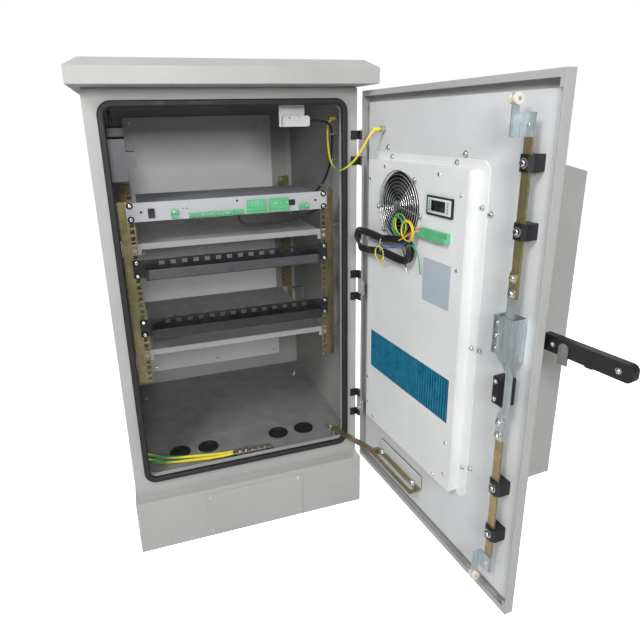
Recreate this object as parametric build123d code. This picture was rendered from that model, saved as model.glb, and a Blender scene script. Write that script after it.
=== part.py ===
"""Roadside equipment cabinet with its door open: 19-inch rack inside, heat exchanger in the door.

Millimetres, +Z up.  The origin is the centre of the plinth's base, +X is the hinge side and the
front faces -Y.  Door pieces are drawn with the door shut and then swung to DOOR_OPEN.
"""
import math
import os

from build123d import *

# Driving sizes of the cabinet
RACK_SIDE_ROOM = 58.7
BODY_D = 562.0
BODY_H = 975.0
PLINTH_H = 145.0
PLINTH_MARGIN = 3.0
FRONT_STEP = 28.0
SHEET = 2.0
DOOR_OPEN = 95.0

# Overrun of every cut past the faces that it passes through
OVER = 1.0

# 19-inch rack standard
RACK_UNIT = 44.45
RACK_HOLE_SPAN = 465.1
RACK_PANEL_W = 482.6
RACK_HOLE_FIRST = 6.35
RACK_HOLE_STEP = 15.875
RACK_UNITS = 10

# Faces that other pieces line up with
BODY_W = RACK_PANEL_W + 2 * RACK_SIDE_ROOM
PLINTH_W = BODY_W + 2 * PLINTH_MARGIN
PLINTH_D = BODY_D + FRONT_STEP + PLINTH_MARGIN
FRONT_Y = -PLINTH_D / 2 + FRONT_STEP
REAR_Y = FRONT_Y + BODY_D
BODY_Z0 = PLINTH_H
BODY_Z1 = PLINTH_H + BODY_H
SIDE_X = BODY_W / 2
WALL_X = SIDE_X - SHEET
REAR_WALL_Y = REAR_Y - SHEET

NODES = {}


# Helpers for prisms along each axis
def rect(u0, u1, v0, v1):
    """A rectangle between two corners of a sketch plane."""
    return Pos((u0 + u1) / 2, (v0 + v1) / 2) * Rectangle(u1 - u0, v1 - v0)


def round_rect(u0, u1, v0, v1, radius):
    """A rectangle with round corners between two corners of a sketch plane."""
    return Pos((u0 + u1) / 2, (v0 + v1) / 2) * RectangleRounded(u1 - u0, v1 - v0, radius)


def slab_x(sketch, x0, x1):
    """A sketch in (y, z), thick from x0 to x1."""
    return extrude(Plane.YZ.offset(x0) * sketch, amount=x1 - x0)


def slab_y(sketch, y0, y1):
    """A sketch in (x, z), thick from y0 to y1."""
    return extrude(Plane.XZ.offset(-y1) * sketch, amount=y1 - y0)


def slab_z(sketch, z0, z1):
    """A sketch in (x, y), thick from z0 to z1."""
    return extrude(Plane.XY.offset(z0) * sketch, amount=z1 - z0)


def block(x0, x1, y0, y1, z0, z1):
    """A box between two corners."""
    return slab_z(rect(x0, x1, y0, y1), z0, z1)


def disc_x(radius, x0, x1, y, z):
    """A cylinder along X."""
    return slab_x(Pos(y, z) * Circle(radius), x0, x1)


def disc_y(radius, y0, y1, x, z):
    """A cylinder along Y."""
    return slab_y(Pos(x, z) * Circle(radius), y0, y1)


def disc_z(radius, z0, z1, x, y):
    """A cylinder along Z."""
    return slab_z(Pos(x, y) * Circle(radius), z0, z1)


def mirrored(shape):
    """The shape and its mirror image across the cabinet's middle plane."""
    return [shape, mirror(shape, about=Plane.YZ)]


def group(shapes):
    """Separate solids that share one node."""
    return Compound([solid for shape in shapes for solid in shape.solids()])


# Plinth
PLINTH_SHEET = 3.0
PLINTH_FLANGE_W = 45.0
PLINTH_TOP_FLANGE_W = 32.0
ANCHOR_INSET = 28.0
ANCHOR_HOLE_R = 7.0
PANEL_W = 262.0
PANEL_H = 127.0
PANEL_T = 2.0
PANEL_DROP = 13.0
PANEL_LAP = 16.0
PLINTH_FRONT_Y = -PLINTH_D / 2
PLINTH_REAR_Y = PLINTH_D / 2
ANCHOR_X = PLINTH_W / 2 - ANCHOR_INSET
ANCHOR_Y = PLINTH_D / 2 - ANCHOR_INSET
PANEL_Z1 = PLINTH_H - PANEL_DROP
PANEL_Z0 = PANEL_Z1 - PANEL_H


def plinth():
    """Open-bottomed base of folded sheet, with anchor holes in its foot flange and an access hole."""
    half_w = PLINTH_W / 2
    half_d = PLINTH_D / 2
    inner = rect(-half_w + PLINTH_SHEET, half_w - PLINTH_SHEET, -half_d + PLINTH_SHEET, half_d - PLINTH_SHEET)
    foot = rect(-half_w + PLINTH_FLANGE_W, half_w - PLINTH_FLANGE_W,
                -half_d + PLINTH_FLANGE_W, half_d - PLINTH_FLANGE_W)
    head = rect(-half_w + PLINTH_TOP_FLANGE_W, half_w - PLINTH_TOP_FLANGE_W,
                -half_d + FRONT_STEP + PLINTH_TOP_FLANGE_W, half_d - PLINTH_TOP_FLANGE_W)
    shell = slab_z(Rectangle(PLINTH_W, PLINTH_D), 0, PLINTH_H)
    shell -= slab_z(inner, PLINTH_SHEET, PLINTH_H - PLINTH_SHEET)
    shell -= slab_z(foot, -OVER, PLINTH_SHEET + OVER)
    shell -= slab_z(head, PLINTH_H - PLINTH_SHEET - OVER, PLINTH_H + OVER)
    holes = Sketch() + GridLocations(2 * ANCHOR_X, 2 * ANCHOR_Y, 2, 2) * Circle(ANCHOR_HOLE_R)
    shell -= slab_z(holes, -OVER, PLINTH_SHEET + OVER)
    access_x = PANEL_W / 2 - PANEL_LAP
    access = rect(-access_x, access_x, PANEL_Z0 + PANEL_LAP, PANEL_Z1 - PANEL_LAP)
    return shell - slab_y(access, -half_d - OVER, -half_d + PLINTH_SHEET + OVER)


def plinth_access_panel():
    """Cover over the plinth's cable access hole, lapped on the front face."""
    outline = rect(-PANEL_W / 2, PANEL_W / 2, PANEL_Z0, PANEL_Z1)
    return slab_y(outline, PLINTH_FRONT_Y - PANEL_T, PLINTH_FRONT_Y)


NODES["plinth"] = plinth()
NODES["plinth_access_panel"] = plinth_access_panel()

# Front frame, its opening and the door seal
FRAME_T = 3.0
SILL_H = 51.0
HEAD_H = 34.0
JAMB_W = 38.0
OPENING_R = 18.0
RETURN_D = 18.0
RETURN_T = 2.0
SEAL_W = 14.0
SEAL_LAP = 2.0
SEAL_PROUD = 9.5
SEAL_ROUND = 4.0
OPENING_X = SIDE_X - JAMB_W
OPENING_Z0 = BODY_Z0 + SILL_H
OPENING_Z1 = BODY_Z1 - HEAD_H
SEAL_X = OPENING_X - SEAL_LAP + SEAL_W


def opening_outline(grow):
    """The door opening, grown outwards by a distance that its corner radius follows."""
    return round_rect(-OPENING_X - grow, OPENING_X + grow, OPENING_Z0 - grow, OPENING_Z1 + grow,
                      OPENING_R + grow)


def front_frame():
    """Front face of the body with a return flange round the door opening."""
    face = slab_y(rect(-SIDE_X, SIDE_X, BODY_Z0, BODY_Z1), FRONT_Y, FRONT_Y + FRAME_T)
    collar = slab_y(opening_outline(RETURN_T), FRONT_Y, FRONT_Y + RETURN_D)
    return face + collar - slab_y(opening_outline(0), FRONT_Y - OVER, FRONT_Y + RETURN_D + OVER)


def door_gasket():
    """Rubber seal round the opening, rounded towards the door."""
    outer = opening_outline(SEAL_W - SEAL_LAP)
    inner = opening_outline(-SEAL_LAP)
    ring = slab_y(outer - inner, FRONT_Y - SEAL_PROUD, FRONT_Y)
    front_edges = ring.faces().sort_by(Axis.Y)[0].edges()
    return fillet(front_edges, SEAL_ROUND)


NODES["front_frame"] = front_frame()
NODES["door_gasket"] = door_gasket()

# Walls, floor and top
FLOOR_Z = 186.0
FLOOR_SKIRT_Z = BODY_Z0
GROMMET_HOLE_R = 23.0
GROMMET_R = 28.0
GROMMET_LIP_T = 3.0
GROMMET_BORE_R = 19.0
GROMMET_SKIN_T = 1.5
GROMMET_OUTER_X = 178.0
GROMMET_INNER_X = 101.0
GROMMET_SETBACK = 103.0
COVER_W = 236.0
COVER_D = 210.0
COVER_SETBACK = 157.0
COVER_LAP = 14.0
WALL_FLANGE_W = 20.0
FLOOR_Y0 = FRONT_Y + RETURN_D
GROMMET_Y = FRONT_Y + GROMMET_SETBACK
COVER_Y0 = FRONT_Y + COVER_SETBACK


def grommet_places():
    """Centres of the four cable holes in the floor."""
    return [Pos(x, GROMMET_Y) for x in (-GROMMET_OUTER_X, -GROMMET_INNER_X, GROMMET_INNER_X, GROMMET_OUTER_X)]


def side_panel():
    """Right-hand wall with a folded edge against the rear wall."""
    wall = slab_x(rect(FRONT_Y + FRAME_T, REAR_Y, BODY_Z0, BODY_Z1), WALL_X, SIDE_X)
    fold = block(WALL_X - WALL_FLANGE_W, WALL_X, REAR_WALL_Y - SHEET, REAR_WALL_Y, BODY_Z0, BODY_Z1 - SHEET)
    return wall + fold


def rear_panel():
    """Rear wall between the two sides."""
    return slab_y(rect(-WALL_X, WALL_X, BODY_Z0, BODY_Z1 - SHEET), REAR_WALL_Y, REAR_Y)


def top_plate():
    """Flat top of the body, under the rain roof."""
    return block(-WALL_X, WALL_X, FRONT_Y + FRAME_T, REAR_Y, BODY_Z1 - SHEET, BODY_Z1)


def floor_plate():
    """Raised floor folded down to the plinth, with cable holes and a service opening."""
    inner_x = WALL_X - SHEET
    rear_y = REAR_WALL_Y - SHEET
    pan = block(-WALL_X, WALL_X, FLOOR_Y0, rear_y, FLOOR_SKIRT_Z, FLOOR_Z)
    pan -= block(-inner_x, inner_x, FLOOR_Y0 + SHEET, rear_y - SHEET, FLOOR_SKIRT_Z - OVER, FLOOR_Z - SHEET)
    for place in grommet_places():
        pan -= slab_z(place * Circle(GROMMET_HOLE_R), FLOOR_Z - SHEET - OVER, FLOOR_Z + OVER)
    service = rect(-COVER_W / 2 + COVER_LAP, COVER_W / 2 - COVER_LAP,
                   COVER_Y0 + COVER_LAP, COVER_Y0 + COVER_D - COVER_LAP)
    return pan - slab_z(service, FLOOR_Z - SHEET - OVER, FLOOR_Z + OVER)


def floor_cover_plate():
    """Plate over the floor's service opening."""
    return block(-COVER_W / 2, COVER_W / 2, COVER_Y0, COVER_Y0 + COVER_D, FLOOR_Z, FLOOR_Z + SHEET)


def cable_grommets():
    """Rubber blanking grommets, dished, one in each cable hole."""
    grommets = []
    for place in grommet_places():
        lip = slab_z(place * Circle(GROMMET_R), FLOOR_Z, FLOOR_Z + GROMMET_LIP_T)
        neck = slab_z(place * Circle(GROMMET_HOLE_R), FLOOR_Z - SHEET, FLOOR_Z)
        dish_z0 = FLOOR_Z - SHEET + GROMMET_SKIN_T
        dish = slab_z(place * Circle(GROMMET_BORE_R), dish_z0, FLOOR_Z + GROMMET_LIP_T + OVER)
        grommets.append(lip + neck - dish)
    return group(grommets)


NODES["right_side_panel"], NODES["left_side_panel"] = mirrored(side_panel())
NODES["rear_panel"] = rear_panel()
NODES["top_plate"] = top_plate()
NODES["floor_plate"] = floor_plate()
NODES["floor_cover_plate"] = floor_cover_plate()
NODES["cable_grommets"] = cable_grommets()

# Rain roof
ROOF_SIDE_LAP = 20.0
ROOF_FRONT_LAP = 78.0
ROOF_REAR_LAP = 20.0
ROOF_SKIRT_H = 33.0
ROOF_SLOPE_H = 17.0
ROOF_SLOPE_IN = 26.0
ROOF_SOFFIT_LAP = 40.0
ROOF_SEAT = 4.0
ROOF_X = SIDE_X + ROOF_SIDE_LAP
ROOF_Y0 = FRONT_Y - ROOF_FRONT_LAP
ROOF_Y1 = REAR_Y + ROOF_REAR_LAP
ROOF_Z0 = BODY_Z1 + ROOF_SEAT


def roof_solid(inset, z0, z1, z2):
    """A skirt with a hipped top, each face moved in by a sheet."""
    base = rect(-ROOF_X + inset, ROOF_X - inset, ROOF_Y0 + inset, ROOF_Y1 - inset)
    rise = ROOF_SLOPE_IN + inset
    crown = rect(-ROOF_X + rise, ROOF_X - rise, ROOF_Y0 + rise, ROOF_Y1 - rise)
    return slab_z(base, z0, z1) + loft([Plane.XY.offset(z1) * base, Plane.XY.offset(z2) * crown])


def roof():
    """Hipped sheet roof with a skirt, a soffit and a seat that stands on the body."""
    skirt_z = ROOF_Z0 + ROOF_SKIRT_H
    crown_z = skirt_z + ROOF_SLOPE_H
    shell = roof_solid(0, ROOF_Z0, skirt_z, crown_z)
    shell -= roof_solid(SHEET, ROOF_Z0 + SHEET, skirt_z, crown_z - SHEET)
    hollow = rect(-SIDE_X + ROOF_SOFFIT_LAP, SIDE_X - ROOF_SOFFIT_LAP,
                  FRONT_Y + ROOF_SOFFIT_LAP, REAR_Y - ROOF_SOFFIT_LAP)
    shell -= slab_z(hollow, ROOF_Z0 - OVER, ROOF_Z0 + SHEET + OVER)
    seat_outer = rect(-SIDE_X + SHEET, SIDE_X - SHEET, FRONT_Y + FRAME_T, REAR_Y - SHEET)
    return shell + slab_z(seat_outer - hollow, BODY_Z1, ROOF_Z0)


NODES["roof"] = roof()

# Rear mounting plate
MOUNT_PLATE_W = 454.0
MOUNT_PLATE_H = 834.0
MOUNT_PLATE_DROP = 50.0
MOUNT_PLATE_GAP = 16.0


def rear_mounting_plate():
    """Equipment plate, folded back to the rear wall along its edges."""
    z1 = BODY_Z1 - MOUNT_PLATE_DROP
    z0 = z1 - MOUNT_PLATE_H
    y1 = REAR_WALL_Y
    y0 = y1 - MOUNT_PLATE_GAP
    tray = block(-MOUNT_PLATE_W / 2, MOUNT_PLATE_W / 2, y0, y1, z0, z1)
    return tray - block(-MOUNT_PLATE_W / 2 + SHEET, MOUNT_PLATE_W / 2 - SHEET,
                        y0 + SHEET, y1 + OVER, z0 + SHEET, z1 - SHEET)


NODES["rear_mounting_plate"] = rear_mounting_plate()

# Rack rails and their brackets
RACK_TOP_Z = 881.0
RAIL_SETBACK = 56.0
REAR_RAIL_SETBACK = 455.0
RAIL_INNER_GAP = 450.0
RAIL_FACE_W = 34.0
RAIL_LEG_D = 30.0
RAIL_T = 2.0
RAIL_END = 3.0
RAIL_HOLE = 9.5
BRACKET_H = 36.0
BRACKET_D = 24.0
BRACKET_HEIGHTS_SHARES = (0.24, 0.88)
RAIL_Y = FRONT_Y + RAIL_SETBACK
REAR_RAIL_Y = FRONT_Y + REAR_RAIL_SETBACK
RAIL_X0 = RAIL_INNER_GAP / 2
RAIL_X1 = RAIL_X0 + RAIL_FACE_W
RAIL_Z1 = RACK_TOP_Z + RAIL_END
RAIL_Z0 = RACK_TOP_Z - RACK_UNITS * RACK_UNIT - RAIL_END


def rack_hole_z(index):
    """Height of a rail hole, counted from the top in threes to each rack unit."""
    return RACK_TOP_Z - (index // 3) * RACK_UNIT - RACK_HOLE_FIRST - (index % 3) * RACK_HOLE_STEP


def rack_rail(face_y, back):
    """Right-hand angle rail with square holes; back is +1 where its leg runs to the rear."""
    leg_y = face_y + back * RAIL_LEG_D
    face_far = face_y + back * RAIL_T
    rail = block(RAIL_X0, RAIL_X1, min(face_y, face_far), max(face_y, face_far), RAIL_Z0, RAIL_Z1)
    rail += block(RAIL_X1 - RAIL_T, RAIL_X1, min(face_y, leg_y), max(face_y, leg_y), RAIL_Z0, RAIL_Z1)
    hole_x = RACK_HOLE_SPAN / 2
    hole = Rectangle(RAIL_HOLE, RAIL_HOLE)
    holes = Sketch() + [Pos(hole_x, rack_hole_z(i)) * hole for i in range(3 * RACK_UNITS)]
    return rail - slab_y(holes, min(face_y, face_far) - OVER, max(face_y, face_far) + OVER)


def rail_bracket(face_y, back, z):
    """Hat-shaped bracket between a rail's leg and the side wall."""
    y0 = min(face_y + back * RAIL_T, face_y + back * (RAIL_T + BRACKET_D))
    bar = block(RAIL_X1, WALL_X, y0, y0 + BRACKET_D, z - BRACKET_H / 2, z + BRACKET_H / 2)
    return bar - block(RAIL_X1 + SHEET, WALL_X - SHEET, y0 - OVER, y0 + BRACKET_D + OVER,
                       z - BRACKET_H / 2 - OVER, z + BRACKET_H / 2 - SHEET)


def rail_brackets():
    """Two brackets on each of the four rails."""
    brackets = []
    for face_y, back in ((RAIL_Y, 1), (REAR_RAIL_Y, 1)):
        for share in BRACKET_HEIGHTS_SHARES:
            z = RAIL_Z1 - share * (RAIL_Z1 - RAIL_Z0)
            brackets += mirrored(rail_bracket(face_y, back, z))
    return group(brackets)


NODES["rack_rails_front"] = group(mirrored(rack_rail(RAIL_Y, 1)))
NODES["rack_rails_rear"] = group(mirrored(rack_rail(REAR_RAIL_Y, 1)))
NODES["rail_brackets"] = rail_brackets()

# Shelves
SHELF_T = 1.5
SHELF_LIP_H = 14.0
SHELF_SIDE_H = 26.0
SHELF_SIDE_GAP = 6.0
SHELF_EAR_W = 24.0
SHELF_UPPER_DROP = 96.0
SHELF_LOWER_DROP = 363.0
SHELF_SLOT_L = 30.0
SHELF_SLOT_W = 5.0
SHELF_SLOT_TURN = 35.0
SHELF_SLOT_COLUMNS = 7
SHELF_SLOT_ROWS = 4
SHELF_X = RAIL_X0 - SHELF_SIDE_GAP
SHELF_Y0 = RAIL_Y + RAIL_T
SHELF_Y1 = REAR_RAIL_Y - RAIL_T
SHELF_SLOT_PITCH_X = 2 * SHELF_X / (SHELF_SLOT_COLUMNS + 1)
SHELF_SLOT_PITCH_Y = (SHELF_Y1 - SHELF_Y0) / (SHELF_SLOT_ROWS + 1)


def shelf(deck_z):
    """Slotted tray shelf hung by ears on the backs of the front rails and the fronts of the rear ones."""
    tray = block(-SHELF_X, SHELF_X, SHELF_Y0, SHELF_Y1, deck_z - SHELF_SIDE_H, deck_z)
    tray -= block(-SHELF_X + SHELF_T, SHELF_X - SHELF_T, SHELF_Y0 + SHELF_T, SHELF_Y1 - SHELF_T,
                  deck_z - SHELF_SIDE_H - OVER, deck_z - SHELF_T)
    tray -= block(-SHELF_X + SHELF_T, SHELF_X - SHELF_T, SHELF_Y0 - OVER, SHELF_Y1 + OVER,
                  deck_z - SHELF_SIDE_H - OVER, deck_z - SHELF_LIP_H)
    slot = Rot(0, 0, SHELF_SLOT_TURN) * Rectangle(SHELF_SLOT_L, SHELF_SLOT_W)
    places = GridLocations(SHELF_SLOT_PITCH_X, SHELF_SLOT_PITCH_Y, SHELF_SLOT_COLUMNS, SHELF_SLOT_ROWS)
    slots = Pos(0, (SHELF_Y0 + SHELF_Y1) / 2) * (Sketch() + [place * slot for place in places])
    tray -= slab_z(slots, deck_z - SHELF_T - OVER, deck_z + OVER)
    for y0, y1 in ((SHELF_Y0, SHELF_Y0 + SHELF_T), (SHELF_Y1, REAR_RAIL_Y)):
        ear = block(SHELF_X - SHELF_T, SHELF_X - SHELF_T + SHELF_EAR_W, y0, y1, deck_z - SHELF_SIDE_H, deck_z)
        for side in mirrored(ear):
            tray += side
    return tray


NODES["shelf_upper"] = shelf(RACK_TOP_Z - SHELF_UPPER_DROP)
NODES["shelf_lower"] = shelf(RACK_TOP_Z - SHELF_LOWER_DROP)

# Power unit: one rack unit high
UNIT_CASE_GAP = 10.0
UNIT_CASE_D = 182.0
UNIT_CASE_H = 40.0
UNIT_PANEL_T = 3.0
UNIT_PANEL_H = 43.6
TERMINAL_PROUD = 9.0
SWITCH_W = 14.0
SWITCH_H = 21.0
SWITCH_CLEAR = 0.5
SWITCH_PROUD = 3.0
SWITCH_ROCK = 9.0
SWITCH_POCKET = 5.0
SWITCH_PIN_R = 0.8
UNIT_CASE_W = RAIL_INNER_GAP - 2 * UNIT_CASE_GAP
UNIT_Z = RACK_TOP_Z - RACK_UNIT / 2
UNIT_FRONT_Y = RAIL_Y - UNIT_PANEL_T
SWITCH_X_SHARE = -0.386
SWITCH_Z_SHARE = -0.09
SWITCH_X = SWITCH_X_SHARE * RACK_PANEL_W
SWITCH_Z = UNIT_Z + SWITCH_Z_SHARE * UNIT_PANEL_H
TERMINAL_STEP_SHARE = 0.35
# Each terminal block: left and right as shares of the panel's width, bottom and top as shares of its height
TERMINAL_SHARES = (
    (-0.297, -0.263, -0.36, 0.03),
    (-0.213, -0.176, -0.47, -0.20),
    (-0.170, -0.133, -0.47, -0.20),
    (-0.127, -0.090, -0.47, -0.20),
    (-0.084, -0.047, -0.47, -0.20),
    (-0.041, -0.004, -0.47, -0.20),
    (0.002, 0.056, -0.45, -0.18),
    (0.073, 0.173, -0.45, 0.28),
    (0.188, 0.290, -0.41, 0.30),
    (0.346, 0.394, -0.40, -0.09),
)


def power_unit():
    """Sheet case behind a front panel with rack ears and a pocket for the switch."""
    case = block(-UNIT_CASE_W / 2, UNIT_CASE_W / 2, RAIL_Y, RAIL_Y + UNIT_CASE_D,
                 UNIT_Z - UNIT_CASE_H / 2, UNIT_Z + UNIT_CASE_H / 2)
    panel = slab_y(Pos(0, UNIT_Z) * Rectangle(RACK_PANEL_W, UNIT_PANEL_H), UNIT_FRONT_Y, RAIL_Y)
    pocket = Pos(SWITCH_X, SWITCH_Z) * Rectangle(SWITCH_W + 2 * SWITCH_CLEAR, SWITCH_H + 2 * SWITCH_CLEAR)
    pocket = slab_y(pocket, UNIT_FRONT_Y - OVER, UNIT_FRONT_Y + SWITCH_POCKET)
    return case + panel - pocket


def power_unit_terminals():
    """Plug-in terminal blocks with a stepped front."""
    blocks = []
    for left, right, low, high in TERMINAL_SHARES:
        z0 = UNIT_Z + low * UNIT_PANEL_H
        z1 = UNIT_Z + high * UNIT_PANEL_H
        step_z = z0 + TERMINAL_STEP_SHARE * (z1 - z0)
        x0 = left * RACK_PANEL_W
        x1 = right * RACK_PANEL_W
        body = block(x0, x1, UNIT_FRONT_Y - TERMINAL_PROUD, UNIT_FRONT_Y, z0, z1)
        step_y = UNIT_FRONT_Y - TERMINAL_PROUD + TERMINAL_STEP_SHARE * TERMINAL_PROUD
        blocks.append(body - block(x0 - OVER, x1 + OVER, UNIT_FRONT_Y - TERMINAL_PROUD - OVER, step_y,
                                   step_z, z1 + OVER))
    return group(blocks)


def unit_switch():
    """Rocker with a shallow V face, turning on a pin in its pocket."""
    half_h = SWITCH_H / 2
    rise = half_h * math.tan(math.radians(SWITCH_ROCK))
    back_y = UNIT_FRONT_Y + SWITCH_CLEAR
    face_y = UNIT_FRONT_Y - SWITCH_PROUD
    profile = make_face(Polyline((back_y, SWITCH_Z - half_h / 2), (back_y + rise, SWITCH_Z),
                                 (back_y, SWITCH_Z + half_h / 2), (back_y - rise, SWITCH_Z + half_h),
                                 (face_y - rise, SWITCH_Z + half_h), (face_y, SWITCH_Z),
                                 (face_y, SWITCH_Z - half_h), (back_y - rise, SWITCH_Z - half_h), close=True))
    rocker = slab_x(profile, SWITCH_X - SWITCH_W / 2, SWITCH_X + SWITCH_W / 2)
    pin_half = SWITCH_W / 2 + SWITCH_CLEAR
    return rocker + disc_x(SWITCH_PIN_R, SWITCH_X - pin_half, SWITCH_X + pin_half, UNIT_FRONT_Y, SWITCH_Z)


NODES["power_unit"] = power_unit()
NODES["power_unit_terminals"] = power_unit_terminals()
NODES["unit_switch"] = unit_switch()

# Cable managers
MANAGER_EAR_IN = 17.55
MANAGER_D = 30.0
MANAGER_H = 43.0
MANAGER_T = 2.0
MANAGER_LID_H = 24.0
MANAGER_SLOTS = 14
MANAGER_SLOT_W = 13.0
MANAGER_SLOT_H = 10.0
MANAGER_SLOT_PITCH = 27.0
MANAGER_UPPER_HOLE = 9
MANAGER_LOWER_HOLE = 19
MANAGER_W = RACK_HOLE_SPAN - 2 * MANAGER_EAR_IN


def manager_z(top_hole):
    """Middle height of a manager whose screws use this rail hole and the second one below it."""
    return (rack_hole_z(top_hole) + rack_hole_z(top_hole + 2)) / 2


def cable_manager(top_hole):
    """Trough on rack ears, its slotted back above the lid that is clipped over its front."""
    z0 = manager_z(top_hole) - MANAGER_H / 2
    z1 = z0 + MANAGER_H
    y0 = RAIL_Y - MANAGER_D
    lid_y = y0 + MANAGER_T
    back_y = RAIL_Y - MANAGER_T
    rim_z = z0 + MANAGER_LID_H
    trough = block(-MANAGER_W / 2, MANAGER_W / 2, lid_y, RAIL_Y, z0, rim_z)
    trough -= block(-MANAGER_W / 2 + MANAGER_T, MANAGER_W / 2 - MANAGER_T, lid_y - OVER, back_y,
                    z0 + MANAGER_T, rim_z + OVER)
    trough += block(-RACK_PANEL_W / 2, RACK_PANEL_W / 2, back_y, RAIL_Y, z0, z1)
    slot = Rectangle(MANAGER_SLOT_W, MANAGER_SLOT_H)
    slots = Sketch() + [place * slot for place in GridLocations(MANAGER_SLOT_PITCH, 0, MANAGER_SLOTS, 1)]
    trough -= slab_y(Pos(0, (rim_z + z1) / 2) * slots, back_y - OVER, RAIL_Y + OVER)
    lid = block(-MANAGER_W / 2, MANAGER_W / 2, y0, lid_y, z0, rim_z)
    return group([trough, lid])


NODES["cable_manager_upper"] = cable_manager(MANAGER_UPPER_HOLE)
NODES["cable_manager_lower"] = cable_manager(MANAGER_LOWER_HOLE)

# Rack screws
SCREW_HEAD_R = 5.0
SCREW_HEAD_H = 3.0
SCREW_SIDES = 12


def rack_screws():
    """Pan-head screws through the ears of the unit and of both managers."""
    screws = []
    head = RegularPolygon(SCREW_HEAD_R, SCREW_SIDES)
    ear_y = RAIL_Y - MANAGER_T
    seats = ((0, UNIT_FRONT_Y), (MANAGER_UPPER_HOLE, ear_y), (MANAGER_LOWER_HOLE, ear_y))
    for top_hole, seat_y in seats:
        for index in (top_hole, top_hole + 2):
            place = Pos(RACK_HOLE_SPAN / 2, rack_hole_z(index))
            screws += mirrored(slab_y(place * head, seat_y - SCREW_HEAD_H, seat_y))
    return group(screws)


NODES["rack_screws"] = rack_screws()

# Earth bar on the floor and earth stud on the wall
EARTH_BAR_L = 105.0
EARTH_BAR_W = 16.0
EARTH_BAR_T = 4.0
EARTH_BAR_SETBACK = 30.0
EARTH_BAR_X = 8.0
EARTH_POST_H = 12.0
EARTH_POST_R = 5.0
EARTH_BOLTS = 5
EARTH_BOLT_R = 5.0
EARTH_BOLT_H = 4.5
EARTH_BOLT_PITCH_SHARE = 0.16
EARTH_POST_SHARE = 0.44
WALL_STUD_R = 5.0
WALL_STUD_L = 10.0
WALL_STUD_SETBACK = 103.0
WALL_STUD_DROP = 66.0
EARTH_BAR_Y = FRONT_Y + EARTH_BAR_SETBACK
EARTH_BAR_Z = FLOOR_Z + EARTH_POST_H
WALL_STUD_Z = BODY_Z1 - WALL_STUD_DROP


def earth_terminals():
    """Earth bar on two posts with its bolts, and the stud for the door's earth strap."""
    half_l = EARTH_BAR_L / 2
    half_w = EARTH_BAR_W / 2
    solids = [block(EARTH_BAR_X - half_l, EARTH_BAR_X + half_l, EARTH_BAR_Y - half_w, EARTH_BAR_Y + half_w,
                    EARTH_BAR_Z, EARTH_BAR_Z + EARTH_BAR_T)]
    for side in (-1, 1):
        post_x = EARTH_BAR_X + side * EARTH_POST_SHARE * EARTH_BAR_L
        solids.append(disc_z(EARTH_POST_R, FLOOR_Z, EARTH_BAR_Z, post_x, EARTH_BAR_Y))
    for place in GridLocations(EARTH_BOLT_PITCH_SHARE * EARTH_BAR_L, 0, EARTH_BOLTS, 1):
        head = Pos(EARTH_BAR_X, EARTH_BAR_Y) * place * RegularPolygon(EARTH_BOLT_R, 6)
        solids.append(slab_z(head, EARTH_BAR_Z + EARTH_BAR_T, EARTH_BAR_Z + EARTH_BAR_T + EARTH_BOLT_H))
    solids.append(disc_x(WALL_STUD_R, WALL_X - WALL_STUD_L, WALL_X, FRONT_Y + WALL_STUD_SETBACK, WALL_STUD_Z))
    return group(solids)


NODES["earth_terminals"] = earth_terminals()

# Mains socket on a rail on the left wall, with a plug in it
DIN_RAIL_W = 35.0
DIN_RAIL_T = 7.5
SOCKET_D = 42.0
SOCKET_H = 92.0
SOCKET_W = 83.0
SOCKET_SETBACK = 64.0
SOCKET_DROP = 100.0
SOCKET_STEP_W = 64.0
SOCKET_STEP_SHARE = 0.3
PLUG_W = 50.0
PLUG_H = 27.0
PLUG_D = 34.0
PLUG_ROUND = 6.0
PLUG_CORD_R = 3.5
PLUG_CORD_L = 34.0
SOCKET_X0 = -WALL_X + DIN_RAIL_T
SOCKET_Y0 = FRONT_Y + SOCKET_SETBACK
SOCKET_Z1 = BODY_Z1 - SOCKET_DROP
SOCKET_Z0 = SOCKET_Z1 - SOCKET_H


def mains_socket():
    """Modular socket clipped to a short mounting rail."""
    middle_y = SOCKET_Y0 + SOCKET_D / 2
    rail_y0 = middle_y - DIN_RAIL_W / 2
    rail = block(-WALL_X, SOCKET_X0, rail_y0, rail_y0 + DIN_RAIL_W, SOCKET_Z0, SOCKET_Z1)
    body = block(SOCKET_X0, SOCKET_X0 + SOCKET_W, SOCKET_Y0, SOCKET_Y0 + SOCKET_D, SOCKET_Z0, SOCKET_Z1)
    step_z = SOCKET_STEP_SHARE * SOCKET_H
    for z0, z1 in ((SOCKET_Z0 - OVER, SOCKET_Z0 + step_z), (SOCKET_Z1 - step_z, SOCKET_Z1 + OVER)):
        body -= block(SOCKET_X0 + SOCKET_STEP_W, SOCKET_X0 + SOCKET_W + OVER, SOCKET_Y0 - OVER,
                      SOCKET_Y0 + SOCKET_D + OVER, z0, z1)
    return group([rail, body])


def mains_plug():
    """Angled plug on top of the socket, with the stub of its cord."""
    x0 = SOCKET_X0 + SOCKET_STEP_W - PLUG_W
    y0 = SOCKET_Y0 + (SOCKET_D - PLUG_D) / 2
    z0 = SOCKET_Z1
    body = slab_x(round_rect(y0, y0 + PLUG_D, z0, z0 + PLUG_H, PLUG_ROUND), x0, x0 + PLUG_W)
    cord = disc_z(PLUG_CORD_R, z0 + PLUG_H, z0 + PLUG_H + PLUG_CORD_L, x0 + PLUG_W / 2, y0 + PLUG_D / 2)
    return body + cord


NODES["mains_socket"] = mains_socket()
NODES["mains_plug"] = mains_plug()

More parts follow.
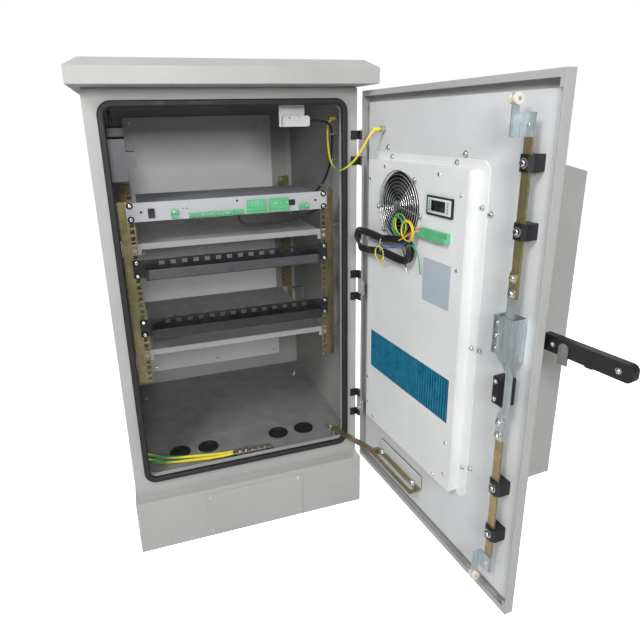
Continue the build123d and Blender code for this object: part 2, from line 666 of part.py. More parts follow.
# Door contact under the top plate
CONTACT_W = 66.0
CONTACT_H = 24.0
CONTACT_D = 13.0
CONTACT_ROUND = 6.0
CONTACT_X = 159.0
CONTACT_SETBACK = 27.0
CONTACT_DROP = 59.0
CONTACT_BRACKET_W = 62.0
CONTACT_BRACKET_SHIFT = 7.0
CONTACT_BRACKET_T = 1.5
CONTACT_BRACKET_LEG = 24.0
CONTACT_Y1 = FRONT_Y + CONTACT_SETBACK + CONTACT_D
CONTACT_Z1 = BODY_Z1 - CONTACT_DROP


def door_contact():
    """Magnetic door contact on an angle bracket under the top plate."""
    half_w = CONTACT_W / 2
    foot_z = CONTACT_Z1 - CONTACT_H
    face = round_rect(CONTACT_X - half_w, CONTACT_X + half_w, foot_z, CONTACT_Z1, CONTACT_ROUND)
    body = slab_y(face, CONTACT_Y1 - CONTACT_D, CONTACT_Y1)
    bracket_x = CONTACT_X - CONTACT_BRACKET_SHIFT
    bracket_x0 = bracket_x - CONTACT_BRACKET_W / 2
    bracket_x1 = bracket_x + CONTACT_BRACKET_W / 2
    top_z = BODY_Z1 - SHEET
    bracket = block(bracket_x0, bracket_x1, CONTACT_Y1, CONTACT_Y1 + CONTACT_BRACKET_T, foot_z, top_z)
    bracket += block(bracket_x0, bracket_x1, CONTACT_Y1, CONTACT_Y1 + CONTACT_BRACKET_LEG,
                     top_z - CONTACT_BRACKET_T, top_z)
    return group([body, bracket])


NODES["door_contact"] = door_contact()

# Door: place of its hinge axis, its faces and how it swings
DOOR_SIDE_GAP = 3.0
DOOR_FREE_GAP = 21.0
DOOR_GAP = 4.0
DOOR_T = 18.0
DOOR_FOOT_GAP = 4.0
DOOR_HEAD_GAP = 8.0
DOOR_SHEET = 1.5
PIVOT_OUT = 8.0
PIVOT_FRONT = 8.0
DOOR_X = SIDE_X - DOOR_SIDE_GAP
DOOR_W = BODY_W - DOOR_SIDE_GAP - DOOR_FREE_GAP
DOOR_Z0 = BODY_Z0 + DOOR_FOOT_GAP
DOOR_Z1 = BODY_Z1 - DOOR_HEAD_GAP
LIP_Y = FRONT_Y - DOOR_GAP
PIVOT_X = SIDE_X + PIVOT_OUT
PIVOT_Y = FRONT_Y - PIVOT_FRONT
PIVOT_AXIS = Axis((PIVOT_X, PIVOT_Y, 0), (0, 0, 1))


def across(s):
    """X of a place on the shut door, measured from its hinge edge."""
    return DOOR_X - s


def depth(t):
    """Y of a depth on the shut door, measured outwards from the plane of its lip."""
    return LIP_Y - t


def door_rect(s0, s1, z0, z1):
    """A rectangle on the door's face."""
    return rect(across(s1), across(s0), z0, z1)


def door_slab(sketch, t0, t1):
    """A sketch on the door's face, thick from depth t0 to depth t1."""
    return slab_y(sketch, depth(t1), depth(t0))


def door_block(s0, s1, t0, t1, z0, z1):
    """A box on the shut door."""
    return door_slab(door_rect(s0, s1, z0, z1), t0, t1)


def door_disc(radius, t0, t1, s, z):
    """A cylinder square to the door."""
    return disc_y(radius, depth(t1), depth(t0), across(s), z)


def swing(shape):
    """A door piece turned from the shut door to the open one."""
    return shape.rotate(PIVOT_AXIS, DOOR_OPEN)


# Hinges
HINGE_HEIGHTS_SHARES = (0.138, 0.489, 0.835)
HINGE_H = 79.0
HINGE_KNUCKLE_H = 20.0
HINGE_R = 6.5
HINGE_PIN_R = 3.0
HINGE_FIT = 0.04
HINGE_END_GAP = 0.4
HINGE_PLATE_GAP = 0.5
FRAME_LEAF_W = 24.0
DOOR_LEAF_W = 30.0
HINGE_Z = [BODY_Z1 - share * BODY_H for share in HINGE_HEIGHTS_SHARES]


def hinge_knuckles():
    """Fixed leaves with two knuckles each and the pin through them."""
    solids = []
    plate_y = FRONT_Y - DOOR_GAP + HINGE_PLATE_GAP
    for z in HINGE_Z:
        for z0 in (z - HINGE_H / 2, z + HINGE_H / 2 - HINGE_KNUCKLE_H):
            knuckle = disc_z(HINGE_R, z0, z0 + HINGE_KNUCKLE_H, PIVOT_X, PIVOT_Y)
            knuckle += block(PIVOT_X - FRAME_LEAF_W, PIVOT_X, plate_y, FRONT_Y, z0, z0 + HINGE_KNUCKLE_H)
            bore = disc_z(HINGE_PIN_R, z0 - OVER, z0 + HINGE_KNUCKLE_H + OVER, PIVOT_X, PIVOT_Y)
            solids.append(knuckle - bore)
        solids.append(disc_z(HINGE_PIN_R, z - HINGE_H / 2, z + HINGE_H / 2, PIVOT_X, PIVOT_Y))
    return group(solids)


def hinge_leaves():
    """Door leaves, each with one knuckle between the two fixed ones."""
    solids = []
    half_h = HINGE_H / 2 - HINGE_KNUCKLE_H - HINGE_END_GAP
    for z in HINGE_Z:
        leaf = disc_z(HINGE_R, z - half_h, z + half_h, PIVOT_X, PIVOT_Y)
        leaf += block(PIVOT_X - DOOR_LEAF_W, PIVOT_X, LIP_Y, PIVOT_Y + HINGE_R, z - half_h, z + half_h)
        bore = disc_z(HINGE_PIN_R + HINGE_FIT, z - half_h - OVER, z + half_h + OVER, PIVOT_X, PIVOT_Y)
        solids.append(leaf - bore)
    return swing(group(solids))


NODES["hinge_knuckles"] = hinge_knuckles()
NODES["hinge_leaves"] = hinge_leaves()

# Heat exchanger in the door: sizes that the door's cut-outs follow
EXCHANGER_S0 = 72.0
EXCHANGER_W = 341.0
EXCHANGER_Z0 = 318.0
EXCHANGER_H = 646.0
EXCHANGER_LEDGE = 13.0
OUTER_S0 = 48.0
OUTER_W = 457.0
OUTER_Z0 = 378.0
OUTER_H = 594.0
EXCHANGER_S1 = EXCHANGER_S0 + EXCHANGER_W
EXCHANGER_Z1 = EXCHANGER_Z0 + EXCHANGER_H

# Lock line: rods, gearbox and handle share it
LOCK_EDGE_IN = 40.0
LOCK_Z = 700.0
SPINDLE_R = 5.0
SPINDLE_CLEAR = 0.5
LOCK_S = DOOR_W - LOCK_EDGE_IN

# Door panel and liner
LIP_HINGE_W = 8.0
LIP_FREE_W = 4.0
LIP_CORNER_W = 10.0
LIP_END_W = 12.0
LINER_RECESS = 6.0
LINER_T = 1.5
LINER_HINGE_IN = 24.0
LINER_END_IN = 26.0
LINER_FREE_IN = 4.0
SKIN_T0 = DOOR_T - DOOR_SHEET


def exchanger_cutout(foot_z, t0, t1):
    """Passage through the door for the exchanger, from a ledge above foot_z upwards."""
    outline = door_rect(EXCHANGER_S0 + EXCHANGER_LEDGE, EXCHANGER_S1 - EXCHANGER_LEDGE,
                        foot_z + EXCHANGER_LEDGE, EXCHANGER_Z1 - EXCHANGER_LEDGE)
    return door_slab(outline, t0, t1)


def spindle_hole(t0, t1):
    """Passage through the door for the handle's spindle."""
    return door_disc(SPINDLE_R + SPINDLE_CLEAR, t0, t1, LOCK_S, LOCK_Z)


def door_panel():
    """Outer skin folded in at all four edges, with a lip turned inwards."""
    pan = door_block(0, DOOR_W, 0, DOOR_T, DOOR_Z0, DOOR_Z1)
    pan -= door_block(DOOR_SHEET, DOOR_W - DOOR_SHEET, DOOR_SHEET, SKIN_T0,
                      DOOR_Z0 + DOOR_SHEET, DOOR_Z1 - DOOR_SHEET)
    opening = door_rect(LIP_HINGE_W, DOOR_W - LIP_CORNER_W, DOOR_Z0 + LIP_END_W, DOOR_Z1 - LIP_END_W)
    opening += door_rect(LIP_HINGE_W, DOOR_W - LIP_FREE_W, DOOR_Z0 + LINER_END_IN, DOOR_Z1 - LINER_END_IN)
    pan -= door_slab(opening, -OVER, DOOR_SHEET + OVER)
    pan -= exchanger_cutout(OUTER_Z0, SKIN_T0 - OVER, DOOR_T + OVER)
    return swing(pan - spindle_hole(SKIN_T0 - OVER, DOOR_T + OVER))


def door_liner():
    """Inner sheet folded back to the skin, short of the lip at the top, the foot and the hinge side."""
    s0 = LINER_HINGE_IN
    s1 = DOOR_W - LINER_FREE_IN
    z0 = DOOR_Z0 + LINER_END_IN
    z1 = DOOR_Z1 - LINER_END_IN
    face_t1 = LINER_RECESS + LINER_T
    pan = door_block(s0, s1, LINER_RECESS, SKIN_T0, z0, z1)
    pan -= door_block(s0 + LINER_T, s1 - LINER_T, face_t1, SKIN_T0 + OVER, z0 + LINER_T, z1 - LINER_T)
    pan -= exchanger_cutout(EXCHANGER_Z0, LINER_RECESS - OVER, face_t1 + OVER)
    return swing(pan - spindle_hole(LINER_RECESS - OVER, face_t1 + OVER))


NODES["door_panel"] = door_panel()
NODES["door_liner"] = door_liner()

# Exchanger casing on the inside of the door
CASING_FLANGE_T = 2.0
CASING_FLANGE_SIDE = 24.0
CASING_FLANGE_TOP = 16.0
CASING_FLANGE_FOOT = 12.0
CASING_FLANGE_CUT = 14.0
CASING_SHEET = 1.5
CASING_PROUD = 26.0
PLATE_T = 2.0
PLATE_LAP = 1.0
WINDOW_IN = 16.0
WINDOW_SIDES = 34.0
WINDOW_H = 96.0
WINDOW_RISE = 148.0
FAN_IN = 130.0
FAN_DROP = 87.0
FAN_HOLE_R = 70.0
WINDOW_S0 = EXCHANGER_S0 + WINDOW_IN
WINDOW_W = EXCHANGER_W - WINDOW_SIDES
WINDOW_Z0 = EXCHANGER_Z0 + WINDOW_RISE
FAN_S = EXCHANGER_S0 + FAN_IN
FAN_Z = EXCHANGER_Z1 - FAN_DROP
PLATE_T0 = LINER_RECESS - CASING_PROUD
PLATE_T1 = PLATE_T0 + PLATE_T
FLANGE_T0 = LINER_RECESS - CASING_FLANGE_T


def exchanger_casing():
    """Folded casing flanged to the door, with a screwed front plate open at the fan and the core."""
    flange_z0 = EXCHANGER_Z0 - CASING_FLANGE_FOOT
    flange_z1 = EXCHANGER_Z1 + CASING_FLANGE_TOP
    outline = door_rect(EXCHANGER_S0 - CASING_FLANGE_SIDE, EXCHANGER_S1 + CASING_FLANGE_SIDE,
                        flange_z0, flange_z1)
    outline = chamfer(outline.vertices(), CASING_FLANGE_CUT)
    bore = door_rect(EXCHANGER_S0 + CASING_SHEET, EXCHANGER_S1 - CASING_SHEET,
                     EXCHANGER_Z0 + CASING_SHEET, EXCHANGER_Z1 - CASING_SHEET)
    casing = door_slab(outline, FLANGE_T0, LINER_RECESS)
    casing += door_block(EXCHANGER_S0, EXCHANGER_S1, PLATE_T1, FLANGE_T0, EXCHANGER_Z0, EXCHANGER_Z1)
    casing -= door_slab(bore, PLATE_T1 - OVER, LINER_RECESS + OVER)
    front = door_rect(EXCHANGER_S0 - PLATE_LAP, EXCHANGER_S1 + PLATE_LAP,
                      EXCHANGER_Z0 - PLATE_LAP, EXCHANGER_Z1 + PLATE_LAP)
    front -= Pos(across(FAN_S), FAN_Z) * Circle(FAN_HOLE_R)
    front -= door_rect(WINDOW_S0, WINDOW_S0 + WINDOW_W, WINDOW_Z0, WINDOW_Z0 + WINDOW_H)
    return swing(group([casing, door_slab(front, PLATE_T0, PLATE_T1)]))


NODES["exchanger_casing"] = exchanger_casing()

# Fan and its guard
GUARD_RINGS = 8
GUARD_PITCH = 7.6
GUARD_R = 73.0
GUARD_WIRE = 2.2
GUARD_SIDES = 24
GUARD_STAND = 4.0
GUARD_LUG_R = 80.0
GUARD_LUG_PAD_R = 5.0
GUARD_HUB_R = 13.0
GUARD_LUG_TURNS = (134.0, 188.0, 314.0, 352.0)
FAN_SHAFT_R = 3.0
FAN_FIT = 0.05
FAN_HUB_R = 27.0
FAN_TIP_R = 65.0
FAN_HUB_L = 22.0
FAN_HUB_GAP = 8.0
FAN_BLADES = 7
FAN_BLADE_T = 2.0
FAN_ROOT_CHORD = 24.0
FAN_TIP_CHORD = 34.0
FAN_ROOT_PITCH = 48.0
FAN_TIP_PITCH = 30.0
FAN_BLADE_SINK = 2.0
GUARD_T1 = PLATE_T0 - GUARD_STAND
GUARD_T0 = GUARD_T1 - GUARD_WIRE
FAN_T0 = GUARD_T1 + FAN_HUB_GAP
FAN_T1 = FAN_T0 + FAN_HUB_L


def fan_guard():
    """Ring guard on four stay wires, with the motor shaft at its middle."""
    centre = Pos(across(FAN_S), FAN_Z)
    wires = centre * Circle(GUARD_HUB_R)
    for i in range(GUARD_RINGS):
        radius = GUARD_R - i * GUARD_PITCH
        outer = RegularPolygon(radius, GUARD_SIDES)
        wires += centre * (outer - RegularPolygon(radius - GUARD_WIRE, GUARD_SIDES))
    for turn in GUARD_LUG_TURNS:
        wires += centre * Rot(0, 0, turn) * rect(0, GUARD_LUG_R, -GUARD_WIRE / 2, GUARD_WIRE / 2)
    guard = door_slab(wires, GUARD_T0, GUARD_T1)
    pad = RegularPolygon(GUARD_LUG_PAD_R, 8)
    for turn in GUARD_LUG_TURNS:
        guard += door_slab(centre * Rot(0, 0, turn) * Pos(GUARD_LUG_R, 0) * pad, GUARD_T0, PLATE_T0)
    return swing(guard + door_disc(FAN_SHAFT_R, GUARD_T1, FAN_T1, FAN_S, FAN_Z))


def fan_rotor():
    """Axial impeller with twisted blades, turning on the motor shaft."""
    hub = Cylinder(FAN_HUB_R, FAN_HUB_L)
    root_plane = Plane.YZ.offset(FAN_HUB_R - FAN_BLADE_SINK)
    root = root_plane * Rot(0, 0, FAN_ROOT_PITCH) * Rectangle(FAN_ROOT_CHORD, FAN_BLADE_T)
    tip = Plane.YZ.offset(FAN_TIP_R) * Rot(0, 0, FAN_TIP_PITCH) * Rectangle(FAN_TIP_CHORD, FAN_BLADE_T)
    blade = loft([root, tip])
    for i in range(FAN_BLADES):
        hub += Rot(0, 0, i * 360 / FAN_BLADES) * blade
    hub -= Cylinder(FAN_SHAFT_R + FAN_FIT, FAN_HUB_L + 2 * OVER)
    return swing(Pos(across(FAN_S), depth((FAN_T0 + FAN_T1) / 2), FAN_Z) * Rot(90, 0, 0) * hub)


NODES["fan_guard"] = fan_guard()
NODES["fan_rotor"] = fan_rotor()

# Exchanger core, controller and terminal
CORE_BASE_T = 4.0
CORE_FIN_H = 12.0
CORE_FIN_T = 2.6
CORE_FIN_PITCH = 8.6
CORE_LAP = 6.0
DISPLAY_IN = 112.0
DISPLAY_W = 78.0
DISPLAY_H = 36.0
DISPLAY_DROP = 89.0
DISPLAY_PROUD = 4.0
DISPLAY_RIM = 3.0
DISPLAY_RIM_H = 1.0
PLUG_BLOCK_IN = 125.0
PLUG_BLOCK_W = 86.0
PLUG_BLOCK_H = 17.0
PLUG_BLOCK_DROP = 134.0
PLUG_BLOCK_PROUD = 14.0
PLUG_BLOCK_STEP_SHARE = 0.45
DISPLAY_S0 = EXCHANGER_S1 - DISPLAY_IN
DISPLAY_Z0 = EXCHANGER_Z1 - DISPLAY_DROP
PLUG_BLOCK_S0 = EXCHANGER_S1 - PLUG_BLOCK_IN
PLUG_BLOCK_Z0 = EXCHANGER_Z1 - PLUG_BLOCK_DROP


def exchanger_core():
    """Finned core behind the window, a comb of upright fins on a base."""
    s0 = WINDOW_S0 - CORE_LAP
    s1 = WINDOW_S0 + WINDOW_W + CORE_LAP
    z0 = WINDOW_Z0 - CORE_LAP
    z1 = WINDOW_Z0 + WINDOW_H + CORE_LAP
    fins = int((s1 - s0 - CORE_FIN_T) / CORE_FIN_PITCH) + 1
    fin_t1 = PLATE_T1 + CORE_FIN_H
    comb = rect(across(s1), across(s0), depth(fin_t1 + CORE_BASE_T), depth(fin_t1))
    middle = Pos(across((s0 + s1) / 2), depth(PLATE_T1 + CORE_FIN_H / 2))
    for place in GridLocations(CORE_FIN_PITCH, 0, fins, 1):
        comb += middle * place * Rectangle(CORE_FIN_T, CORE_FIN_H)
    return swing(slab_z(comb, z0, z1))


def controller_display():
    """Display unit with a raised rim round its face."""
    s1 = DISPLAY_S0 + DISPLAY_W
    z1 = DISPLAY_Z0 + DISPLAY_H
    face_t = PLATE_T0 - DISPLAY_PROUD
    body = door_block(DISPLAY_S0, s1, face_t, PLATE_T0, DISPLAY_Z0, z1)
    body -= door_block(DISPLAY_S0 + DISPLAY_RIM, s1 - DISPLAY_RIM, face_t - OVER, face_t + DISPLAY_RIM_H,
                       DISPLAY_Z0 + DISPLAY_RIM, z1 - DISPLAY_RIM)
    return swing(body)


def exchanger_terminal():
    """Plug-in terminal block with a stepped front."""
    s1 = PLUG_BLOCK_S0 + PLUG_BLOCK_W
    z1 = PLUG_BLOCK_Z0 + PLUG_BLOCK_H
    front_t = PLATE_T0 - PLUG_BLOCK_PROUD
    body = door_block(PLUG_BLOCK_S0, s1, front_t, PLATE_T0, PLUG_BLOCK_Z0, z1)
    step_z = PLUG_BLOCK_Z0 + PLUG_BLOCK_STEP_SHARE * PLUG_BLOCK_H
    step_t = front_t + PLUG_BLOCK_STEP_SHARE * PLUG_BLOCK_PROUD
    body -= door_block(PLUG_BLOCK_S0 - OVER, s1 + OVER, front_t - OVER, step_t, step_z, z1 + OVER)
    return swing(body)


NODES["exchanger_core"] = exchanger_core()
NODES["controller_display"] = controller_display()
NODES["exchanger_terminal"] = exchanger_terminal()

# Exchanger's outer casing on the street side of the door
OUTER_D = 130.0
OUTER_SLOPE_RUN = 46.0
OUTER_SLOPE_DROP = 12.0
OUTER_SHEET = 1.5
LOUVRES = 7
LOUVRE_PITCH = 24.0
LOUVRE_W = 300.0
LOUVRE_H = 12.0
LOUVRE_PROUD = 9.0
LOUVRE_MARGIN = 34.0


def louvre_heights():
    """Feet of the louvres: one bank under the head and one above the foot of the casing."""
    low = [OUTER_Z0 + LOUVRE_MARGIN + i * LOUVRE_PITCH for i in range(LOUVRES)]
    high = [OUTER_Z0 + OUTER_H - OUTER_SLOPE_DROP - LOUVRE_MARGIN - i * LOUVRE_PITCH for i in range(LOUVRES)]
    return low + high


def outer_profile(inset, back_t):
    """Side view of the casing in (y, z), with the front of its top sloped to shed rain."""
    t1 = DOOR_T + OUTER_D - inset
    z0 = OUTER_Z0 + inset
    z1 = OUTER_Z0 + OUTER_H - inset
    slope_z = z1 - OUTER_SLOPE_DROP
    slope_t = t1 - OUTER_SLOPE_RUN
    return make_face(Polyline((depth(back_t), z0), (depth(t1), z0), (depth(t1), slope_z),
                              (depth(slope_t), z1), (depth(back_t), z1), close=True))


def exchanger_outer_casing():
    """Louvred sheet cover over the exchanger's outer air circuit."""
    s1 = OUTER_S0 + OUTER_W
    cover = slab_x(outer_profile(0, DOOR_T), across(s1), across(OUTER_S0))
    inside = outer_profile(OUTER_SHEET, DOOR_T - OVER)
    cover -= slab_x(inside, across(s1 - OUTER_SHEET), across(OUTER_S0 + OUTER_SHEET))
    face_t = DOOR_T + OUTER_D
    middle = OUTER_S0 + OUTER_W / 2
    for z in louvre_heights():
        hood = make_face(Polyline((depth(face_t), z), (depth(face_t + LOUVRE_PROUD), z),
                                  (depth(face_t), z + LOUVRE_H), close=True))
        cover += slab_x(hood, across(middle + LOUVRE_W / 2), across(middle - LOUVRE_W / 2))
        inner_t = face_t - OUTER_SHEET - OVER
        outer_t = face_t + LOUVRE_PROUD - 2 * OUTER_SHEET
        air = make_face(Polyline((depth(inner_t), z - OVER), (depth(outer_t), z - OVER),
                                 (depth(inner_t), z + LOUVRE_H - OUTER_SHEET), close=True))
        half_air = LOUVRE_W / 2 - OUTER_SHEET
        cover -= slab_x(air, across(middle + half_air), across(middle - half_air))
    return swing(cover)


NODES["exchanger_outer_casing"] = exchanger_outer_casing()

# Espagnolette: rods, links, hooks and rollers on the lock line
ROD_W = 16.0
ROD_T = 4.0
ROD_STAND = 20.0
ROD_TRAVEL = 12.0
LINK_T = 3.0
LINK_W = 14.0
LINK_JOG = 11.0
LINK_END_GAP = 12.0
LINK_JOG_HIGH = 45.0
LINK_JOG_LOW = 138.0
LINK_JOG_RUN = 15.0
ROD_UPPER_Z0 = 772.0
ROD_UPPER_Z1 = 1055.0
ROD_LOWER_Z0 = 228.0
ROD_LOWER_Z1 = 555.0
ROD_BOLT_R = 6.0
ROD_BOLT_H = 4.0
ROD_BOLT_IN = 8.0
ROD_BOLT_PITCH = 26.0
LINK_LAP = 43.0
HOOK_H = 35.0
HOOK_T = 2.0
HOOK_S0 = 518.0
HOOK_NOSE_T = 7.0
ROLLER_R = 8.5
ROLLER_W = 5.0
ROLLER_GAP = 0.4
ROLLER_FIT = 0.05
AXLE_R = 2.5
AXLE_END = 1.0
ROLLER_SEAL_GAP = 1.5
ROLLER_RETURN_GAP = 0.5
ROD_T1 = LINER_RECESS - ROD_STAND
ROD_T0 = ROD_T1 - ROD_T
LINK_T0 = ROD_T0 - LINK_T
ROLLER_T = -(DOOR_GAP + RETURN_D + ROLLER_RETURN_GAP + ROLLER_R)
ROLLER_UPPER_Z = OPENING_Z1 - SEAL_LAP - ROLLER_SEAL_GAP - ROLLER_R
ROLLER_LOWER_Z = OPENING_Z0 + SEAL_LAP + ROLLER_SEAL_GAP + ROLLER_R


def strip(path, width, t0, t1):
    """Flat bar of one width along a path of (s, z) places on the door."""
    one_side = [(across(s) - width / 2, z) for s, z in path]
    other_side = [(across(s) + width / 2, z) for s, z in reversed(path)]
    return door_slab(make_face(Polyline(*one_side, *other_side, close=True)), t0, t1)


def hook(seat_z, tip_z, axle_z):
    """Bracket on a rod's end: a foot on the rod and a web out to the roller's axle."""
    foot_z0 = min(seat_z, seat_z + math.copysign(HOOK_H, tip_z - seat_z))
    foot = door_block(HOOK_S0, LOCK_S + ROD_W / 2, LINK_T0, ROD_T0, foot_z0, foot_z0 + HOOK_H)
    nose_t0 = ROLLER_T - HOOK_NOSE_T
    nose_t1 = ROLLER_T + HOOK_NOSE_T
    bend_z = seat_z + math.copysign(HOOK_H, tip_z - seat_z)
    web = make_face(Polyline((depth(ROD_T0), seat_z), (depth(nose_t0), seat_z), (depth(nose_t0), tip_z),
                             (depth(nose_t1), tip_z), (depth(nose_t1), bend_z), (depth(ROD_T0), bend_z),
                             close=True))
    foot += slab_x(web, across(HOOK_S0 + HOOK_T), across(HOOK_S0))
    reach = ROLLER_W + ROLLER_GAP + AXLE_END
    axle_x0 = across(HOOK_S0 + HOOK_T + reach)
    return foot + disc_x(AXLE_R, axle_x0, across(HOOK_S0 - reach), depth(ROLLER_T), axle_z)


def rod_bolts(heights):
    """Dome-headed bolts through a link and its rod."""
    bolts = []
    for z in heights:
        head = door_disc(ROD_BOLT_R, LINK_T0 - ROD_BOLT_H, LINK_T0, LOCK_S, z)
        face = head.faces().sort_by(Axis.Y)[-1]
        bolts.append(fillet(face.edges(), ROD_BOLT_H - OVER))
    return bolts


def lock_rod_upper():
    """Upper rod with the link that joins it to the gearbox and the hook at its top."""
    rod = door_block(LOCK_S - ROD_W / 2, LOCK_S + ROD_W / 2, ROD_T0, ROD_T1, ROD_UPPER_Z0, ROD_UPPER_Z1)
    link = door_block(LOCK_S - ROD_W / 2, LOCK_S + ROD_W / 2, LINK_T0, ROD_T0,
                      LOCK_Z + LINK_END_GAP, ROD_UPPER_Z0 + LINK_LAP)
    bolts = rod_bolts([ROD_UPPER_Z0 + ROD_BOLT_IN, ROD_UPPER_Z0 + ROD_BOLT_IN + ROD_BOLT_PITCH])
    top = hook(ROD_UPPER_Z1 - HOOK_H, ROLLER_UPPER_Z + ROLLER_R, ROLLER_UPPER_Z)
    return swing(group([rod, link, top] + bolts))


def lock_rod_lower():
    """Lower rod, its link jogged round the block beside it, and the hook at its foot."""
    rod = door_block(LOCK_S - ROD_W / 2, LOCK_S + ROD_W / 2, ROD_T0, ROD_T1, ROD_LOWER_Z0, ROD_LOWER_Z1)
    side_s = LOCK_S + LINK_JOG
    path = [(LOCK_S, LOCK_Z - LINK_END_GAP), (LOCK_S, LOCK_Z - LINK_JOG_HIGH),
            (side_s, LOCK_Z - LINK_JOG_HIGH - LINK_JOG_RUN), (side_s, LOCK_Z - LINK_JOG_LOW + LINK_JOG_RUN),
            (LOCK_S, LOCK_Z - LINK_JOG_LOW), (LOCK_S, ROD_LOWER_Z1 - LINK_LAP)]
    link = strip(path, LINK_W, LINK_T0, ROD_T0)
    bolts = rod_bolts([ROD_LOWER_Z1 - ROD_BOLT_IN, ROD_LOWER_Z1 - ROD_BOLT_IN - ROD_BOLT_PITCH])
    foot = hook(ROD_LOWER_Z0 + HOOK_H, ROLLER_LOWER_Z - ROLLER_R, ROLLER_LOWER_Z)
    return swing(group([rod, link, foot] + bolts))


def rollers(z):
    """Pair of rollers on one axle, one on each side of the hook's web."""
    near = HOOK_S0 + HOOK_T + ROLLER_GAP
    far = HOOK_S0 - ROLLER_GAP
    pair = []
    for s0, s1 in ((near, near + ROLLER_W), (far - ROLLER_W, far)):
        roller = disc_x(ROLLER_R, across(s1), across(s0), depth(ROLLER_T), z)
        bore = disc_x(AXLE_R + ROLLER_FIT, across(s1 + OVER), across(s0 - OVER), depth(ROLLER_T), z)
        pair.append(roller - bore)
    return swing(group(pair))


NODES["lock_rod_upper"] = lock_rod_upper()
NODES["lock_rod_lower"] = lock_rod_lower()
NODES["roller_upper"] = rollers(ROLLER_UPPER_Z)
NODES["roller_lower"] = rollers(ROLLER_LOWER_Z)

# Rod guides, gearbox and block on the door's liner
GUIDE_HEIGHTS = (983.0, 880.0, 414.0, 314.0)
GUIDE_W = 28.0
GUIDE_H = 26.0
GUIDE_PROUD = 28.0
GUIDE_CUT = 6.0
ROD_CLEAR = 0.3
GUIDE_BOLT_R = 6.0
GUIDE_BOLT_H = 3.5
GEARBOX_W = 28.0
GEARBOX_H = 76.0
GEARBOX_PROUD = 30.0
GEARBOX_SHEET = 2.0
GEARBOX_FOOT_W = 20.0
GEARBOX_FOOT_T = 1.5
BLOCK_W = 26.0
BLOCK_H = 50.0
BLOCK_PROUD = 26.0
BLOCK_DROP = 99.0
BLOCK_GROOVES = 3
BLOCK_GROOVE_PITCH = 4.0
BLOCK_GROOVE_W = 1.6
BLOCK_GROOVE_D = 3.0
BLOCK_CLEAR = 2.0


def rod_guides():
    """Four moulded guides that the rods slide through, each with its fixing bolt."""
    solids = []
    face_t = LINER_RECESS - GUIDE_PROUD
    half_w = GUIDE_W / 2
    for z in GUIDE_HEIGHTS:
        z0 = z - GUIDE_H / 2
        body = door_block(LOCK_S - half_w, LOCK_S + half_w, face_t, LINER_RECESS, z0, z0 + GUIDE_H)
        edges = body.edges().filter_by(Axis.Z).sort_by(Axis.Y)[-2:]
        body = chamfer(edges, GUIDE_CUT)
        half_slot = ROD_W / 2 + ROD_CLEAR
        body -= door_block(LOCK_S - half_slot, LOCK_S + half_slot, ROD_T0 - ROD_CLEAR, ROD_T1 + ROD_CLEAR,
                           z0 - OVER, z0 + GUIDE_H + OVER)
        solids.append(body)
        solids.append(door_disc(GUIDE_BOLT_R, face_t - GUIDE_BOLT_H, face_t, LOCK_S, z))
    return swing(group(solids))


def lock_gearbox():
    """Folded steel cover over the cam, open at both ends for the links, on a foot plate."""
    s0 = LOCK_S - GEARBOX_W / 2
    s1 = LOCK_S + GEARBOX_W / 2
    z0 = LOCK_Z - GEARBOX_H / 2
    z1 = LOCK_Z + GEARBOX_H / 2
    foot_t = LINER_RECESS - GEARBOX_FOOT_T
    face_t = LINER_RECESS - GEARBOX_PROUD
    cover = door_block(s0, s1, face_t, foot_t, z0, z1)
    cover -= door_block(s0 + GEARBOX_SHEET, s1 - GEARBOX_SHEET, face_t + GEARBOX_SHEET, foot_t + OVER,
                        z0 - OVER, z1 + OVER)
    cover += door_block(s0 - GEARBOX_FOOT_W, s1, foot_t, LINER_RECESS, z0, z1)
    return swing(cover - spindle_hole(foot_t - OVER, LINER_RECESS + OVER))


def handle_backing_block():
    """Moulding beside the lower link, grooved on the link's side."""
    s1 = LOCK_S + LINK_JOG - LINK_W / 2 - BLOCK_CLEAR
    s0 = s1 - BLOCK_W
    z1 = LOCK_Z - BLOCK_DROP + BLOCK_H / 2
    z0 = z1 - BLOCK_H
    face_t = LINER_RECESS - BLOCK_PROUD
    body = door_block(s0, s1, face_t, LINER_RECESS, z0, z1)
    for i in range(BLOCK_GROOVES):
        groove_s1 = s1 - (i + 1 / 2) * BLOCK_GROOVE_PITCH
        body -= door_block(groove_s1 - BLOCK_GROOVE_W, groove_s1, face_t - OVER, face_t + BLOCK_GROOVE_D,
                           z0 - OVER, z1 + OVER)
    return swing(body)


NODES["rod_guides"] = rod_guides()
NODES["lock_gearbox"] = lock_gearbox()
NODES["handle_backing_block"] = handle_backing_block()

# Swing handle on the street side of the door
BASE_T = 8.0
BASE_W = 42.0
BASE_HEAD = 30.0
BASE_TAIL = 158.0
BASE_ROUND = 16.0
BASE_EDGE = 2.0
BOSS_R = 13.5
BOSS_H = 19.7
BOSS_GAP = 0.3
CAM_R = 11.0
CAM_T = 8.0
CAM_GAP = 4.0
FORK_W = 12.0
FORK_FLOOR = 5.0
FORK_CLEAR = 0.3
LEVER_PIN_R = 2.5
LEVER_FIT = 0.05
LEVER_STAND = 4.0
LEVER_T = 16.0
LEVER_W = 28.0
LEVER_START = 18.0
LEVER_L = 176.0
LEVER_ROUND = 10.0
LEVER_EDGE = 3.0
TONGUE_R = 6.0
LEVER_LIFT = 4.0
CYLINDER_R = 8.0
CYLINDER_FIT = 0.05
CYLINDER_AT = 94.0
CYLINDER_PROUD = 4.0
KEY_W = 22.0
KEY_H = 30.0
KEY_HANG = 27.0
KEY_T = 4.0
KEY_GAP = 1.5
KEY_SHANK = 4.0
KEY_ROUND = 8.0
FLAP_AT = 64.0
FLAP_T = 2.0
FLAP_GAP = 0.3
FLAP_W = 18.0
FLAP_HANG = 27.0
FLAP_PIN_R = 2.0
